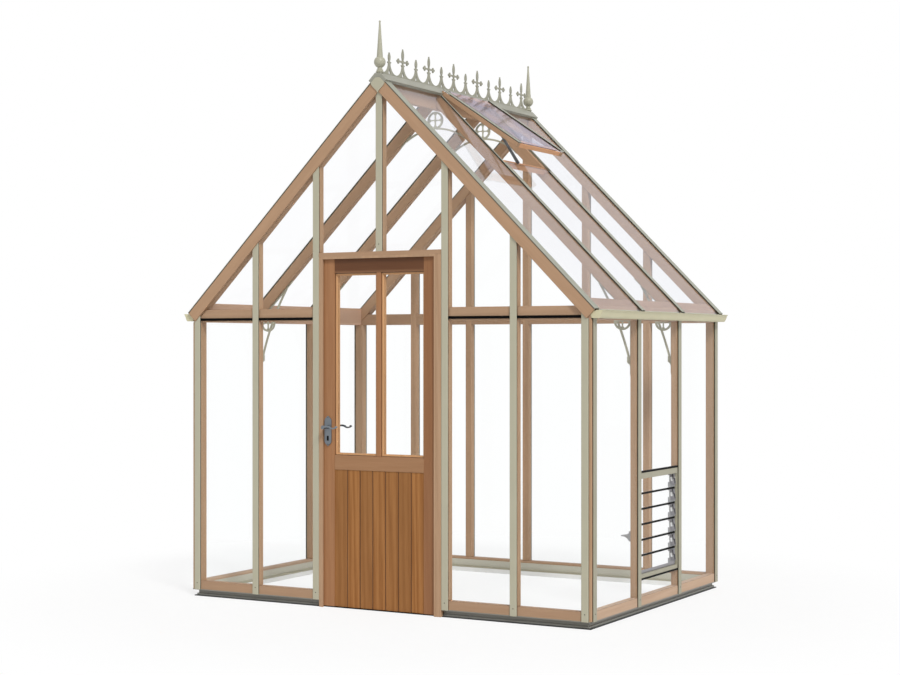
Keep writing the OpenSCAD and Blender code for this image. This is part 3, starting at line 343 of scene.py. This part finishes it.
paints = {
    "sagePaint": {"paint": (178, 174, 152), "dust": (160, 155, 134), "amount": 0.4, "bump": 0.05},
    # painted shade: a darker copy of the sage paint for the side-wall caps and the louvre frame
    "sageSideShaded": {"paint": (157, 153, 133), "dust": (141, 136, 117), "amount": 0.4, "bump": 0.05},
    "sageFacing": {"paint": (196, 193, 178), "dust": (176, 172, 156), "amount": 0.4, "bump": 0.05},
    # painted shade: a darker copy of the sage paint for the ridge cap
    "sageRidgeShaded": {"paint": (150, 149, 136), "dust": (128, 126, 114), "amount": 0.6, "bump": 0.08},
    "sageRoof": {"paint": (148, 149, 134), "dust": (126, 126, 114), "amount": 0.5, "bump": 0.06},
    "sageCresting": {"paint": (156, 155, 138), "dust": (114, 112, 98), "amount": 0.8, "bump": 0.25},
    "sageCasting": {"paint": (182, 180, 160), "dust": (140, 136, 116), "amount": 0.7, "bump": 0.25},
    "sageFinial": {"paint": (172, 170, 150), "dust": (138, 135, 118), "amount": 0.7, "bump": 0.2},
    "creamPaint": {"paint": (206, 200, 166), "dust": (180, 173, 138), "amount": 0.4, "bump": 0.05},
    # painted light on the base rail's inner faces, near white so their shade doesn't show
    "railGrey": {"paint": (124, 124, 117), "dust": (146, 145, 138), "amount": 0.7, "bump": 0.15,
                 "inner": {"low": (236, 236, 234), "high": (160, 155, 134), "change": 0.027, "fade": 0.001,
                           "wall": 0.03}},
    "sealGrey": {"paint": (134, 131, 122), "dust": (112, 110, 102), "amount": 0.5, "bump": 0.2},
    "blackRubber": {"paint": (8, 8, 8), "dust": (20, 20, 19), "amount": 0.3, "bump": 0.3, "gloss": 0.04},
    # partly painted shade: dark grey for the gaskets and the shade along the caps' sides
    "darkGasketAndShade": {"paint": (58, 56, 50), "dust": (80, 77, 70), "amount": 0.5, "bump": 0.3, "gloss": 0.2},
    # painted shadow: black of the contact shadow at the foot of the base rail
    "contactShadowBlack": {"paint": (40, 40, 42), "dust": (66, 66, 68), "amount": 0.6, "bump": 0.15, "gloss": 0.2},
    "paneEdge": {"paint": (150, 164, 166), "dust": (128, 140, 142), "amount": 0.5, "bump": 0.05},
    # painted shade in the gaps between the door's beads and rails
    "beadGapShade": {"paint": (62, 38, 22), "dust": (84, 56, 36), "amount": 0.5, "bump": 0.1},
    # painted shade in the grooves of the door boards
    "grooveShade": {"paint": (112, 72, 38), "dust": (92, 56, 28), "amount": 0.6, "bump": 0.1},
    "clipGrey": {"paint": (150, 148, 152), "dust": (118, 116, 120), "amount": 0.7, "bump": 0.1},
    "clipWhite": {"paint": (240, 240, 240), "dust": (222, 222, 224), "amount": 0.5, "bump": 0.05},
}


def placeFilm(tree, shader, vector, look, bump):
    values = {"Paint": tone(*look["paint"]), "Dust": tone(*look["dust"]), "Dust Amount": look["amount"]}
    return placeGroup(tree, shader, filmTree, vector, values, bump)


def innerMask(tree, vector, wall):
    # faces of the base rail towards the inside of the house
    apart = split(tree, vector, (-700, 300))
    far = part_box("base_plinth")[1]
    inX = mathNode(tree, "LESS_THAN", mathNode(tree, "ABSOLUTE", apart[0]), far.x - wall)
    inY = mathNode(tree, "LESS_THAN", mathNode(tree, "ABSOLUTE", apart[1]), far.y - wall)
    return mathNode(tree, "MULTIPLY", inX, inY)


def makePaint(name):
    look = paints[name]
    material, tree, shader, vector = newMaterial(name)
    coat = placeFilm(tree, shader, vector, look, look["bump"])
    if "inner" in look:
        # painted light: the inner faces are near white so their shade doesn't show, below a painted edge
        inner = look["inner"]
        high = beyond(tree, vector, 2, inner["change"], inner["change"] + inner["fade"])
        litInside = mixColour(tree, high, tone(*inner["low"]), tone(*inner["high"]))
        litInside = mixColour(tree, innerMask(tree, vector, inner["wall"]), coat, litInside)
        tree.links.new(litInside, shader.inputs["Base Color"])
    shader.inputs["Specular IOR Level"].default_value = look.get("gloss", film["gloss"])
    return material


metals = {
    "millAlloy": {"paint": (176, 177, 180), "dust": (146, 148, 150), "amount": 0.6, "metal": 0.6},
    "pewterMetal": {"paint": (128, 134, 140), "dust": (72, 76, 82), "amount": 1.0, "metal": 0.7},
    "stayGrey": {"paint": (104, 108, 110), "dust": (70, 72, 74), "amount": 0.6, "metal": 0.4},
    "screwSteel": {"paint": (84, 82, 78), "dust": (60, 58, 54), "amount": 0.6, "metal": 0.6},
}


def makeMetal(name):
    look = metals[name]
    material, tree, shader, vector = newMaterial(name)
    placeFilm(tree, shader, vector, look, film["metalBump"])
    shader.inputs["Metallic"].default_value = look["metal"]
    return material


# The glass is nearly clear, with a coloured gleam of sky that grows towards a grazing view
panes = {
    "clearPane": {"tint": (255, 255, 255), "smear": (254, 255, 255), "gleam": (250, 251, 252),
                  "sky": (246, 248, 251), "shine": 0.2, "rough": 0.04, "scale": 3.5},
    "roofPane": {"tint": (255, 255, 255), "smear": (252, 252, 254), "gleam": (206, 212, 228),
                 "sky": (220, 218, 228), "shine": 0.72, "rough": 0.04, "scale": 3.5, "skyward": True},
    "ventPane": {"tint": (250, 250, 255), "smear": (236, 238, 248), "gleam": (136, 152, 194),
                 "sky": (220, 196, 186), "shine": 1.4, "rough": 0.14, "scale": 4.5},
}
glass = {"bend": 1.06, "gleam": 1.45, "smearDetail": 4, "passed": (253, 254, 254)}


def makePane(name):
    look = panes[name]
    material, tree, shader, vector = newMaterial(name)
    smear = addNode(tree, "ShaderNodeTexNoise", (-500, 100), noise_dimensions="3D")
    fill(smear, {"Scale": look["scale"], "Detail": glass["smearDetail"]})
    tree.links.new(vector, smear.inputs["Vector"])
    tinted = mixColour(tree, smear.outputs["Fac"], tone(*look["tint"]), tone(*look["smear"]))
    tree.links.new(tinted, shader.inputs["Base Color"])
    fill(shader, {"Roughness": 0, "IOR": glass["bend"], "Transmission Weight": 1})
    gleam = addNode(tree, "ShaderNodeBsdfGlossy", (300, -300))
    gleam.inputs["Roughness"].default_value = look["rough"]
    mirrored = mixColour(tree, smear.outputs["Fac"], tone(*look["gleam"]), tone(*look["sky"]))
    tree.links.new(mirrored, gleam.inputs["Color"])
    rise = addNode(tree, "ShaderNodeFresnel", (0, -300))
    rise.inputs["IOR"].default_value = glass["gleam"]
    face = addNode(tree, "ShaderNodeNewGeometry", (-200, -500))
    outer = mathNode(tree, "SUBTRACT", 1, face.outputs["Backfacing"])
    if look.get("skyward"):
        # the underside of a roof pane has no sky to mirror
        upward = mathNode(tree, "GREATER_THAN", split(tree, face.outputs["Normal"], (0, -500))[2], 0)
        outer = mathNode(tree, "MULTIPLY", outer, upward)
    amount = mathNode(tree, "MULTIPLY", rise.outputs[0], look["shine"], clamp=True)
    amount = mathNode(tree, "MULTIPLY", amount, outer)
    sheen = mixShaders(tree, amount, shader.outputs[0], gleam.outputs[0], (480, -100))
    # daylight passes the panes, so the timber behind them isn't darkened
    rays = addNode(tree, "ShaderNodeLightPath", (0, 400)).outputs
    through = mathNode(tree, "MAXIMUM", rays["Is Shadow Ray"], rays["Is Diffuse Ray"])
    hole = addNode(tree, "ShaderNodeBsdfTransparent", (300, 300))
    hole.inputs[0].default_value = tone(*glass["passed"])
    pane = mixShaders(tree, through, sheen, hole.outputs[0], (640, 100))
    tree.links.new(pane, tree.nodes["Material Output"].inputs[0])
    return material


finishes = {name: makeTimber(name) for name in timber}
finishes["cedarSill"] = makeSillTimber()
finishes.update({name: makePaint(name) for name in paints})
finishes.update({name: makeMetal(name) for name in metals})
finishes.update({name: makePane(name) for name in panes})

finishOf = {
    "cedarUpright": ["corner_posts", "front_bars", "rear_bars", "side_bars", "door_jambs", "door_stops"],
    "cedarAcross": ["tie_rails", "door_head"],
    "cedarLong": ["ridge_board"],
    "cedarEavesLit": ["eaves_plates"],
    "cedarTrimmerLit": ["vent_trimmer", "vent_rails"],
    "cedarSlope": ["rafters", "barge_boards", "vent_stiles"],
    "cedarSill": ["sills"],
    "doorUpright": ["door_stiles", "door_muntin"],
    "doorAcross": ["door_rails"],
    "doorBoards": ["door_panel"],
    "sageFacing": ["sill_facings"],
    "sagePaint": ["apex_plates", "front_caps", "rear_caps"],
    "sageSideShaded": ["side_caps", "louvre_jambs", "louvre_rails"],
    "sageRidgeShaded": ["ridge_cap"],
    "sageRoof": ["roof_caps", "vent_caps"],
    "sageCresting": ["ridge_cresting"],
    "sageFinial": ["finials"],
    "sageCasting": ["ridge_spandrels", "eave_spandrels"],
    "creamPaint": ["gutters"],
    "railGrey": ["base_plinth"],
    "blackRubber": ["glazing_strips"],
    "millAlloy": ["louvre_channels", "louvre_handle", "vent_hinge"],
    "stayGrey": ["vent_opener"],
    "pewterMetal": ["handle_plates", "hinge_frame_leaves", "hinge_door_leaves", "door_lever"],
    "clearPane": ["front_glass", "rear_glass", "side_glass", "louvre_blades", "door_glass"],
    "roofPane": ["roof_glass"],
    "ventPane": ["vent_glass"],
}
for finish, names in finishOf.items():
    for name in names:
        nodes[name].data.materials.clear()
        nodes[name].data.materials.append(finishes[finish])
leftOver = sorted(set(nodes) - {name for names in finishOf.values() for name in names})
print("finishes on nodes, left over:", leftOver)

# Eased edges on the sawn timber and the pressed metal, by their width
easing = {"merge": 0.00002, "flat": math.radians(0.5), "sharp": math.radians(40), "segments": 2}
eased = {
    0.003: ["corner_posts", "front_bars", "rear_bars", "side_bars", "tie_rails", "rafters", "barge_boards",
            "door_stiles", "door_rails", "door_muntin", "door_jambs", "vent_trimmer", "vent_stiles",
            "vent_rails"],
    0.0015: ["ridge_cap", "apex_plates", "louvre_rails", "louvre_jambs", "handle_plates", "base_plinth"],
}
for width, names in eased.items():
    for name in names:
        modifiers = nodes[name].modifiers
        weld = modifiers.new("weld", "WELD")
        weld.merge_threshold = easing["merge"]
        flatten = modifiers.new("flatten", "DECIMATE")
        flatten.decimate_type = "DISSOLVE"
        flatten.angle_limit = easing["flat"]
        ease = modifiers.new("ease", "BEVEL")
        ease.width = width
        ease.segments = easing["segments"]
        ease.limit_method = "ANGLE"
        ease.angle_limit = easing["sharp"]
print("edges eased")


def addBlock(form, low, high, place=None):
    corners = bmesh.ops.create_cube(form, size=1)["verts"]
    size = [abs(b - a) for a, b in zip(low, high)]
    middle = [(a + b) / 2 for a, b in zip(low, high)]
    fit = Matrix.Translation(middle) @ Matrix.Diagonal((*size, 1))
    bmesh.ops.transform(form, matrix=place @ fit if place else fit, verts=corners)


screwHead = {"sides": 16, "dome": 0.72}


def addScrew(form, foot, axis, radius, head):
    # low domed head on a foot point, along an axis
    stand = Vector((0, 0, 1)).rotation_difference(Vector(axis)).to_matrix().to_4x4()
    fit = Matrix.Translation(Vector(foot)) @ stand @ Matrix.Translation((0, 0, head / 2))
    bmesh.ops.create_cone(form, cap_ends=True, segments=screwHead["sides"], radius1=radius,
                          radius2=radius * screwHead["dome"], depth=head, matrix=fit)


def addRing(form, rect, outline):
    # mitred frame round a rectangle in X and Z: the outline gives insets and depths in Y
    x0, x1, z0, z1 = rect
    loops = []
    for inset, y in outline:
        corners = ((x0 + inset, y, z0 + inset), (x1 - inset, y, z0 + inset),
                   (x1 - inset, y, z1 - inset), (x0 + inset, y, z1 - inset))
        loops.append([form.verts.new(corner) for corner in corners])
    for first, second in zip(loops, loops[1:] + loops[:1]):
        for i in range(4):
            j = (i + 1) % 4
            form.faces.new((first[i], first[j], second[j], second[i]))


def addSkirt(form, outer, strip):
    # strip round the four walls that leaves the doorway open
    outX, outY = outer.x + strip["proud"], outer.y + strip["proud"]
    inX, inY = outX - strip["deep"], outY - strip["deep"]
    jambLow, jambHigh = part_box("door_jambs")
    runs = {-1: ((-outX, jambLow.x), (jambHigh.x, outX)), 1: ((-outX, outX),)}
    for side in (-1, 1):
        addBlock(form, (side * inX, -outY, strip["low"]), (side * outX, outY, strip["high"]))
        for x0, x1 in runs[side]:
            addBlock(form, (x0, side * inY, strip["low"]), (x1, side * outY, strip["high"]))


def keepPiece(name, form, finish, body):
    bmesh.ops.recalc_face_normals(form, faces=form.faces)
    mesh = bpy.data.meshes.new(name)
    form.to_mesh(mesh)
    form.free()
    mesh.materials.append(finishes[finish])
    piece = bpy.data.objects.new(name, mesh)
    scene.collection.objects.link(piece)
    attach(piece, body)


def slopePlace(side):
    # X runs down the slope from the apex, Z stands off it
    lean = Matrix.Rotation(house["lean"], 4, "Y")
    return Matrix.Diagonal((side, 1, 1, 1)) @ Matrix.Translation((0, 0, apexZ)) @ lean


def gableTop(x):
    # underside of the barge boards at a distance from the middle
    toe = (slopeEnd - house["bargeLow"]) * math.cos(house["lean"])
    return apexZ - house["bargeLow"] / math.cos(house["lean"]) - min(abs(x), toe)


def gableFoot(face, x):
    # the middle cap of the front stands on the head of the door
    return headTop if face < 0 and x == 0 else capFoot


# Middles of the caps on a gable and on a side wall
gableCaps = [0] + [side * x for side in (-1, 1) for x in house["barX"]]
sideCaps = (house["barY"], -house["barY"], house["cornerY"], -house["cornerY"])

# Dark strips along both edges of the caps: partly the rubber gaskets, partly painted shade on the caps'
# shaded sides
gasketAndShade = {"roofHigh": 0.0068, "thinHigh": 0.003, "wallHigh": 0.0045, "wide": 0.0006,
          "ridgeGap": 0.004, "endGap": 0.001}
form = bmesh.new()
for side in (-1, 1):
    for y, width in ((house["barY"], house["capW"]), (house["vergeY"], house["vergeW"])):
        verge = y == house["vergeY"]
        for end in (-1, 1):
            for edge in (-1, 1):
                start = house["ridgeCap"] + gasketAndShade["ridgeGap"]
                if side > 0 and edge < 0 and not verge:
                    start = house["ventFoot"]
                thin = side < 0 or (verge and edge > 0)
                high = gasketAndShade["thinHigh"] if thin else gasketAndShade["roofHigh"]
                line = end * (y + edge * width / 2)
                far = line + end * edge * gasketAndShade["wide"]
                addBlock(form, (start, line, house["pane"]),
                         (slopeEnd - gasketAndShade["endGap"], far, house["pane"] + high), slopePlace(side))
for face in (-1, 1):
    for x in gableCaps:
        for edge in (-1, 1):
            line = x + edge * house["capW"] / 2
            far = line + edge * gasketAndShade["wide"]
            top = gableTop(max(abs(line), abs(far))) - gasketAndShade["endGap"]
            addBlock(form, (line, face * wallY, gableFoot(face, x)),
                     (far, face * (wallY + gasketAndShade["wallHigh"]), top))
for side in (-1, 1):
    for y in sideCaps:
        for edge in (-1, 1):
            line = y + edge * house["capW"] / 2
            addBlock(form, (side * wallX, line, capFoot),
                     (side * (wallX + gasketAndShade["wallHigh"]), line + edge * gasketAndShade["wide"], sideCapHigh.z))
keepPiece("capGasketsAndShade", form, "darkGasketAndShade", "greenhouse")

# Screws at the feet of the wall caps
capScrew = {"radius": 0.0033, "head": 0.0014, "rise": 0.040}
form = bmesh.new()
for face in (-1, 1):
    for x in gableCaps:
        foot = (x, face * (wallY + capT), gableFoot(face, x) + capScrew["rise"])
        addScrew(form, foot, (0, face, 0), capScrew["radius"], capScrew["head"])
for side in (-1, 1):
    for y in sideCaps:
        foot = (side * (wallX + capT), y, capFoot + capScrew["rise"])
        addScrew(form, foot, (side, 0, 0), capScrew["radius"], capScrew["head"])
keepPiece("capScrews", form, "screwSteel", "greenhouse")

# Black clips under the lower ends of the roof caps, and the ground edges of the roof panes
endClip = {"half": 0.017, "long": 0.005, "low": -0.003, "high": 0.009}
groundEdge = {"long": 0.0012, "runs": ((-0.9260, -0.3000), (-0.2970, 0.2970), (0.3000, 0.9260))}
endClips = bmesh.new()
groundEdges = bmesh.new()
for side in (-1, 1):
    place = slopePlace(side)
    for y in (house["barY"], -house["barY"], house["vergeY"], -house["vergeY"]):
        addBlock(endClips, (slopeEnd, y - endClip["half"], endClip["low"]),
                 (slopeEnd + endClip["long"], y + endClip["half"], endClip["high"]), place)
    for y0, y1 in groundEdge["runs"]:
        addBlock(groundEdges, (slopeEnd, y0, 0), (slopeEnd + groundEdge["long"], y1, house["pane"]), place)
keepPiece("roofClips", endClips, "blackRubber", "greenhouse")
keepPiece("roofPaneEdges", groundEdges, "paneEdge", "greenhouse")

# Gaskets inside the caps of the open vent, on its pane
vent = {"pivot": (0.039, 0, 0.018), "open": math.radians(11), "paneFoot": 0.014, "line": 0.2655,
        "start": 0.006, "stop": 0.608, "high": 0.005, "wide": 0.002, "lift": 0.0001}
swing = Matrix.Rotation(-vent["open"], 4, "Y")
ventPlace = slopePlace(1) @ Matrix.Translation(vent["pivot"]) @ swing
ventTop = vent["paneFoot"] + house["pane"] + vent["lift"]
form = bmesh.new()
for end in (-1, 1):
    addBlock(form, (vent["start"], end * vent["line"], ventTop),
             (vent["stop"], end * (vent["line"] - vent["wide"]), ventTop + vent["high"]), ventPlace)
keepPiece("ventGaskets", form, "darkGasketAndShade", "greenhouse")

# Feet that close the angle between the arms of the eave spandrels and their bars
armFoot = {"low": 0.048, "cut": 0.070, "high": 0.102, "deep": 0.027, "proud": 0.0002}
castLow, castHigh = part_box("eave_spandrels")
castHalf = castHigh.y - house["barY"] + armFoot["proud"]
footIn = castHigh.x - armFoot["deep"]
profile = ((castHigh.x, armFoot["low"]), (castHigh.x, armFoot["high"]),
           (footIn, armFoot["high"]), (footIn, armFoot["cut"]))
form = bmesh.new()
for side in (-1, 1):
    for y in (-house["barY"], house["barY"]):
        corners = [form.verts.new((side * x, y - castHalf, castLow.z + z)) for x, z in profile]
        grown = bmesh.ops.extrude_face_region(form, geom=[form.faces.new(corners)])["geom"]
        moved = [item for item in grown if isinstance(item, bmesh.types.BMVert)]
        bmesh.ops.translate(form, vec=(0, 2 * castHalf, 0), verts=moved)
keepPiece("spandrelFeet", form, "sageCasting", "greenhouse")
print("cap trim made")

# Pale flange strip between the sills and the base rail
seal = {"low": 0.0375, "high": 0.0425, "proud": 0.0015, "deep": 0.004}
form = bmesh.new()
addSkirt(form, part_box("sills")[1], seal)
keepPiece("sillSeal", form, "sealGrey", "greenhouse")

# Painted contact shadow: a dark strip along the foot of the base rail
lip = {"low": 0, "high": 0.005, "proud": 0.010, "deep": 0.014}
form = bmesh.new()
addSkirt(form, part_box("base_plinth")[1], lip)
keepPiece("baseShadowStrip", form, "contactShadowBlack", "greenhouse")

# Black strip under the foot of the door
footStrip = {"high": 0.006, "deep": 0.012, "inset": 0.002}
stileLow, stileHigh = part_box("door_stiles")
form = bmesh.new()
addBlock(form, (stileLow.x + footStrip["inset"], stileLow.y, stileLow.z - footStrip["high"]),
         (stileHigh.x - footStrip["inset"], stileLow.y + footStrip["deep"], stileLow.z))
keepPiece("doorFootStrip", form, "blackRubber", "door")

# Glazing beads on both sides of the door's panes, and a painted shade line in the gap between each bead and
# its rail
bead = {"wide": 0.013, "flat": 0.006, "lip": {-1: 0.004, 1: 0.015}, "deep": {-1: 0.011, 1: 0.0195}}
gapShade = {"wide": 0.0026, "proud": 0.0005, "sink": 0.001}
paneLow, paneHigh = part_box("door_glass")
barLow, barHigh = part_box("door_muntin")
beads = bmesh.new()
gapShadeForm = bmesh.new()
for x0, x1 in ((paneLow.x, barLow.x), (barHigh.x, paneHigh.x)):
    rect = (x0, x1, paneLow.z, paneHigh.z)
    for y, out in ((paneLow.y, -1), (paneHigh.y, 1)):
        rim, top = y + out * bead["lip"][out], y + out * bead["deep"][out]
        addRing(beads, rect, ((0, y), (bead["wide"], y), (bead["wide"], rim), (bead["flat"], top), (0, top)))
        near, far = top - out * gapShade["sink"], top + out * gapShade["proud"]
        addRing(gapShadeForm, rect, ((0, near), (gapShade["wide"], near), (gapShade["wide"], far), (0, far)))
keepPiece("doorBeads", beads, "doorBeadLit", "door")
keepPiece("beadGapShadeLines", gapShadeForm, "beadGapShade", "door")

# Painted shade: dark lines in the grooves of the boards
groove = {"boards": 7, "half": 0.0016, "sink": 0.0003, "deep": 0.004, "endGap": 0.002}
panelLow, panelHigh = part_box("door_panel")
boardPitch = (paneHigh.x - paneLow.x) / groove["boards"]
form = bmesh.new()
for i in range(1, groove["boards"]):
    x = paneLow.x + i * boardPitch
    for y, into in ((panelLow.y, 1), (panelHigh.y, -1)):
        addBlock(form, (x - groove["half"], y + into * groove["sink"], panelLow.z + groove["endGap"]),
                 (x + groove["half"], y + into * groove["deep"], panelHigh.z - groove["endGap"]))
keepPiece("boardGrooveShade", form, "grooveShade", "door")

# Screws of the handle plates
plateScrew = {"radius": 0.0034, "head": 0.0015, "inset": 0.009}
plateLow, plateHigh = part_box("handle_plates")
plateX = (plateLow.x + plateHigh.x) / 2
form = bmesh.new()
for z in (plateLow.z + plateScrew["inset"], plateHigh.z - plateScrew["inset"]):
    for y, out in ((plateLow.y, -1), (plateHigh.y, 1)):
        addScrew(form, (plateX, y, z), (0, out, 0), plateScrew["radius"], plateScrew["head"])
keepPiece("handleScrews", form, "screwSteel", "door")

# Painted shade: black blocks in the keyholes, below the lever, for the dark inside them
keyhole = {"half": 0.0062, "drop": 0.050, "tall": 0.028, "proud": 0.0006}
leverLow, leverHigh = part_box("door_lever")
holeTop = (leverLow.z + leverHigh.z) / 2 - keyhole["drop"]
form = bmesh.new()
for y0, y1 in ((stileLow.y, plateLow.y - keyhole["proud"]), (stileHigh.y, plateHigh.y + keyhole["proud"])):
    addBlock(form, (plateX - keyhole["half"], y0, holeTop - keyhole["tall"]),
             (plateX + keyhole["half"], y1, holeTop))
keepPiece("keyholeShade", form, "blackRubber", "door")
print("door trim made")

# Louvre: dark seals between the blades, and clips with slots and a window that hold their ends
blade = {"count": 6, "lap": 0.010, "tilt": math.radians(-8)}
bladeSeal = {"low": 0.318, "pitch": 0.0868, "tall": 0.011, "deep": 0.005, "back": 0.001}
bladeClip = {"x": 0.034, "z": 0.066, "thick": 0.0025}
clipMark = {"slots": ((0.003, 0.014), (0.011, -0.012)), "slotX": 0.004, "slotZ": 0.030,
            "windowAt": -0.014, "windowX": 0.012, "windowZ": 0.024, "proud": 0.0006}
bladeLow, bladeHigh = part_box("louvre_blades")
bladeMid = (bladeLow.x + bladeHigh.x) / 2
reach = bladeHigh.y
pitch = (bladeHigh.z - bladeLow.z - blade["lap"]) / blade["count"]
seals = bmesh.new()
for i in range(blade["count"] - 1):
    low = bladeSeal["low"] + i * bladeSeal["pitch"] - bladeSeal["tall"] / 2
    back = bladeHigh.x - bladeSeal["back"]
    addBlock(seals, (back, -reach, low), (back + bladeSeal["deep"], reach, low + bladeSeal["tall"]))
clips = bmesh.new()
slots = bmesh.new()
windows = bmesh.new()
for i in range(blade["count"]):
    z = bladeLow.z + blade["lap"] / 2 + (i + 0.5) * pitch
    for end in (-1, 1):
        place = Matrix.Translation((bladeMid, end * reach, z)) @ Matrix.Rotation(blade["tilt"], 4, "Y")
        addBlock(clips, (-bladeClip["x"] / 2, 0, -bladeClip["z"] / 2),
                 (bladeClip["x"] / 2, -end * bladeClip["thick"], bladeClip["z"] / 2), place)
        front = -end * (bladeClip["thick"] + clipMark["proud"])
        for x, up in clipMark["slots"]:
            addBlock(slots, (x, 0, up - clipMark["slotZ"] / 2),
                     (x + clipMark["slotX"], front, up + clipMark["slotZ"] / 2), place)
        addBlock(windows, (clipMark["windowAt"], 0, -clipMark["windowZ"] / 2),
                 (clipMark["windowAt"] + clipMark["windowX"], front, clipMark["windowZ"] / 2), place)
keepPiece("bladeSeals", seals, "blackRubber", "greenhouse")
keepPiece("bladeClips", clips, "clipGrey", "greenhouse")
keepPiece("bladeSlots", slots, "blackRubber", "greenhouse")
keepPiece("bladeWindows", windows, "clipWhite", "greenhouse")

# Alloy sill inside the louvre: a ledge with an upstand
ledge = {"low": 0.002, "high": 0.026, "deep": 0.020, "gap": 0.001}
upstand = {"low": 0.018, "high": 0.040, "deep": 0.005, "gap": 0.001}
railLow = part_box("louvre_rails")[0]
form = bmesh.new()
for step in (ledge, upstand):
    addBlock(form, (railLow.x - step["deep"], -reach, railLow.z + step["low"]),
             (railLow.x - step["gap"], reach, railLow.z + step["high"]))
keepPiece("louvreSill", form, "clipGrey", "greenhouse")
print("louvre trim made")

# Floor, sky and lamp
studio = {
    "floor": (238, 238, 238), "floorPale": (244, 244, 244), "floorHalf": 60, "grit": 8,
    "clear": (1.9, 3.2), "near": 0.78, "sky": 0.44, "zenith": 0.6,
    "sun": 2.15, "sunTurn": (46, 0, 52), "sunAngle": 14,
}


def seenRays(tree):
    # what the camera sees, also in metal and through glass
    rays = addNode(tree, "ShaderNodeLightPath").outputs
    shiny = mathNode(tree, "MAXIMUM", rays["Is Glossy Ray"], rays["Is Transmission Ray"])
    return mathNode(tree, "MAXIMUM", rays["Is Camera Ray"], shiny)


groundMesh = bpy.data.meshes.new("ground")
form = bmesh.new()
bmesh.ops.create_grid(form, x_segments=2, y_segments=2, size=studio["floorHalf"])
form.to_mesh(groundMesh)
form.free()
ground = bpy.data.objects.new("ground", groundMesh)
scene.collection.objects.link(ground)
material, tree, shader, vector = newMaterial("palePaving")
grit = addNode(tree, "ShaderNodeTexNoise")
grit.inputs["Scale"].default_value = studio["grit"]
tree.links.new(vector, grit.inputs["Vector"])
paving = mixColour(tree, grit.outputs["Fac"], tone(*studio["floor"]), tone(*studio["floorPale"]))
tree.links.new(paving, shader.inputs["Base Color"])
fill(shader, {"Roughness": 0.9, "Specular IOR Level": 0.1})
# the floor keeps the shadow close to the house and fades to white further out
away = addNode(tree, "ShaderNodeVectorMath", operation="LENGTH")
tree.links.new(vector, away.inputs[0])
fade = addNode(tree, "ShaderNodeMapRange", interpolation_type="SMOOTHSTEP")
tree.links.new(away.outputs["Value"], fade.inputs["Value"])
fill(fade, {"From Min": studio["clear"][0], "From Max": studio["clear"][1], "To Min": studio["near"]})
white = addNode(tree, "ShaderNodeEmission")
white.inputs["Color"].default_value = (1, 1, 1, 1)
seen = mathNode(tree, "MULTIPLY", seenRays(tree), fade.outputs[0])
floor = mixShaders(tree, seen, shader.outputs[0], white.outputs[0])
tree.links.new(floor, tree.nodes["Material Output"].inputs[0])
groundMesh.materials.append(material)

world = bpy.data.worlds.new("paleStudio")
scene.world = world
world.use_nodes = True
tree = world.node_tree
tree.nodes.clear()
coords = addNode(tree, "ShaderNodeTexCoord")
height = addNode(tree, "ShaderNodeMapRange")
tree.links.new(split(tree, coords.outputs["Generated"])[2], height.inputs["Value"])
fill(height, {"To Min": studio["sky"], "To Max": studio["zenith"]})
level = addNode(tree, "ShaderNodeMix", data_type="FLOAT")
tree.links.new(seenRays(tree), level.inputs[0])
tree.links.new(height.outputs[0], level.inputs[2])
level.inputs[3].default_value = 1
sky = addNode(tree, "ShaderNodeBackground")
sky.inputs["Color"].default_value = (1, 1, 1, 1)
tree.links.new(level.outputs[0], sky.inputs["Strength"])
out = addNode(tree, "ShaderNodeOutputWorld")
tree.links.new(sky.outputs[0], out.inputs[0])

lampData = bpy.data.lights.new("softSun", "SUN")
lampData.energy = studio["sun"]
lampData.angle = math.radians(studio["sunAngle"])
lamp = bpy.data.objects.new("softSun", lampData)
lamp.rotation_euler = [math.radians(d) for d in studio["sunTurn"]]
scene.collection.objects.link(lamp)
scene.view_settings.view_transform = "Standard"
print("studio set")
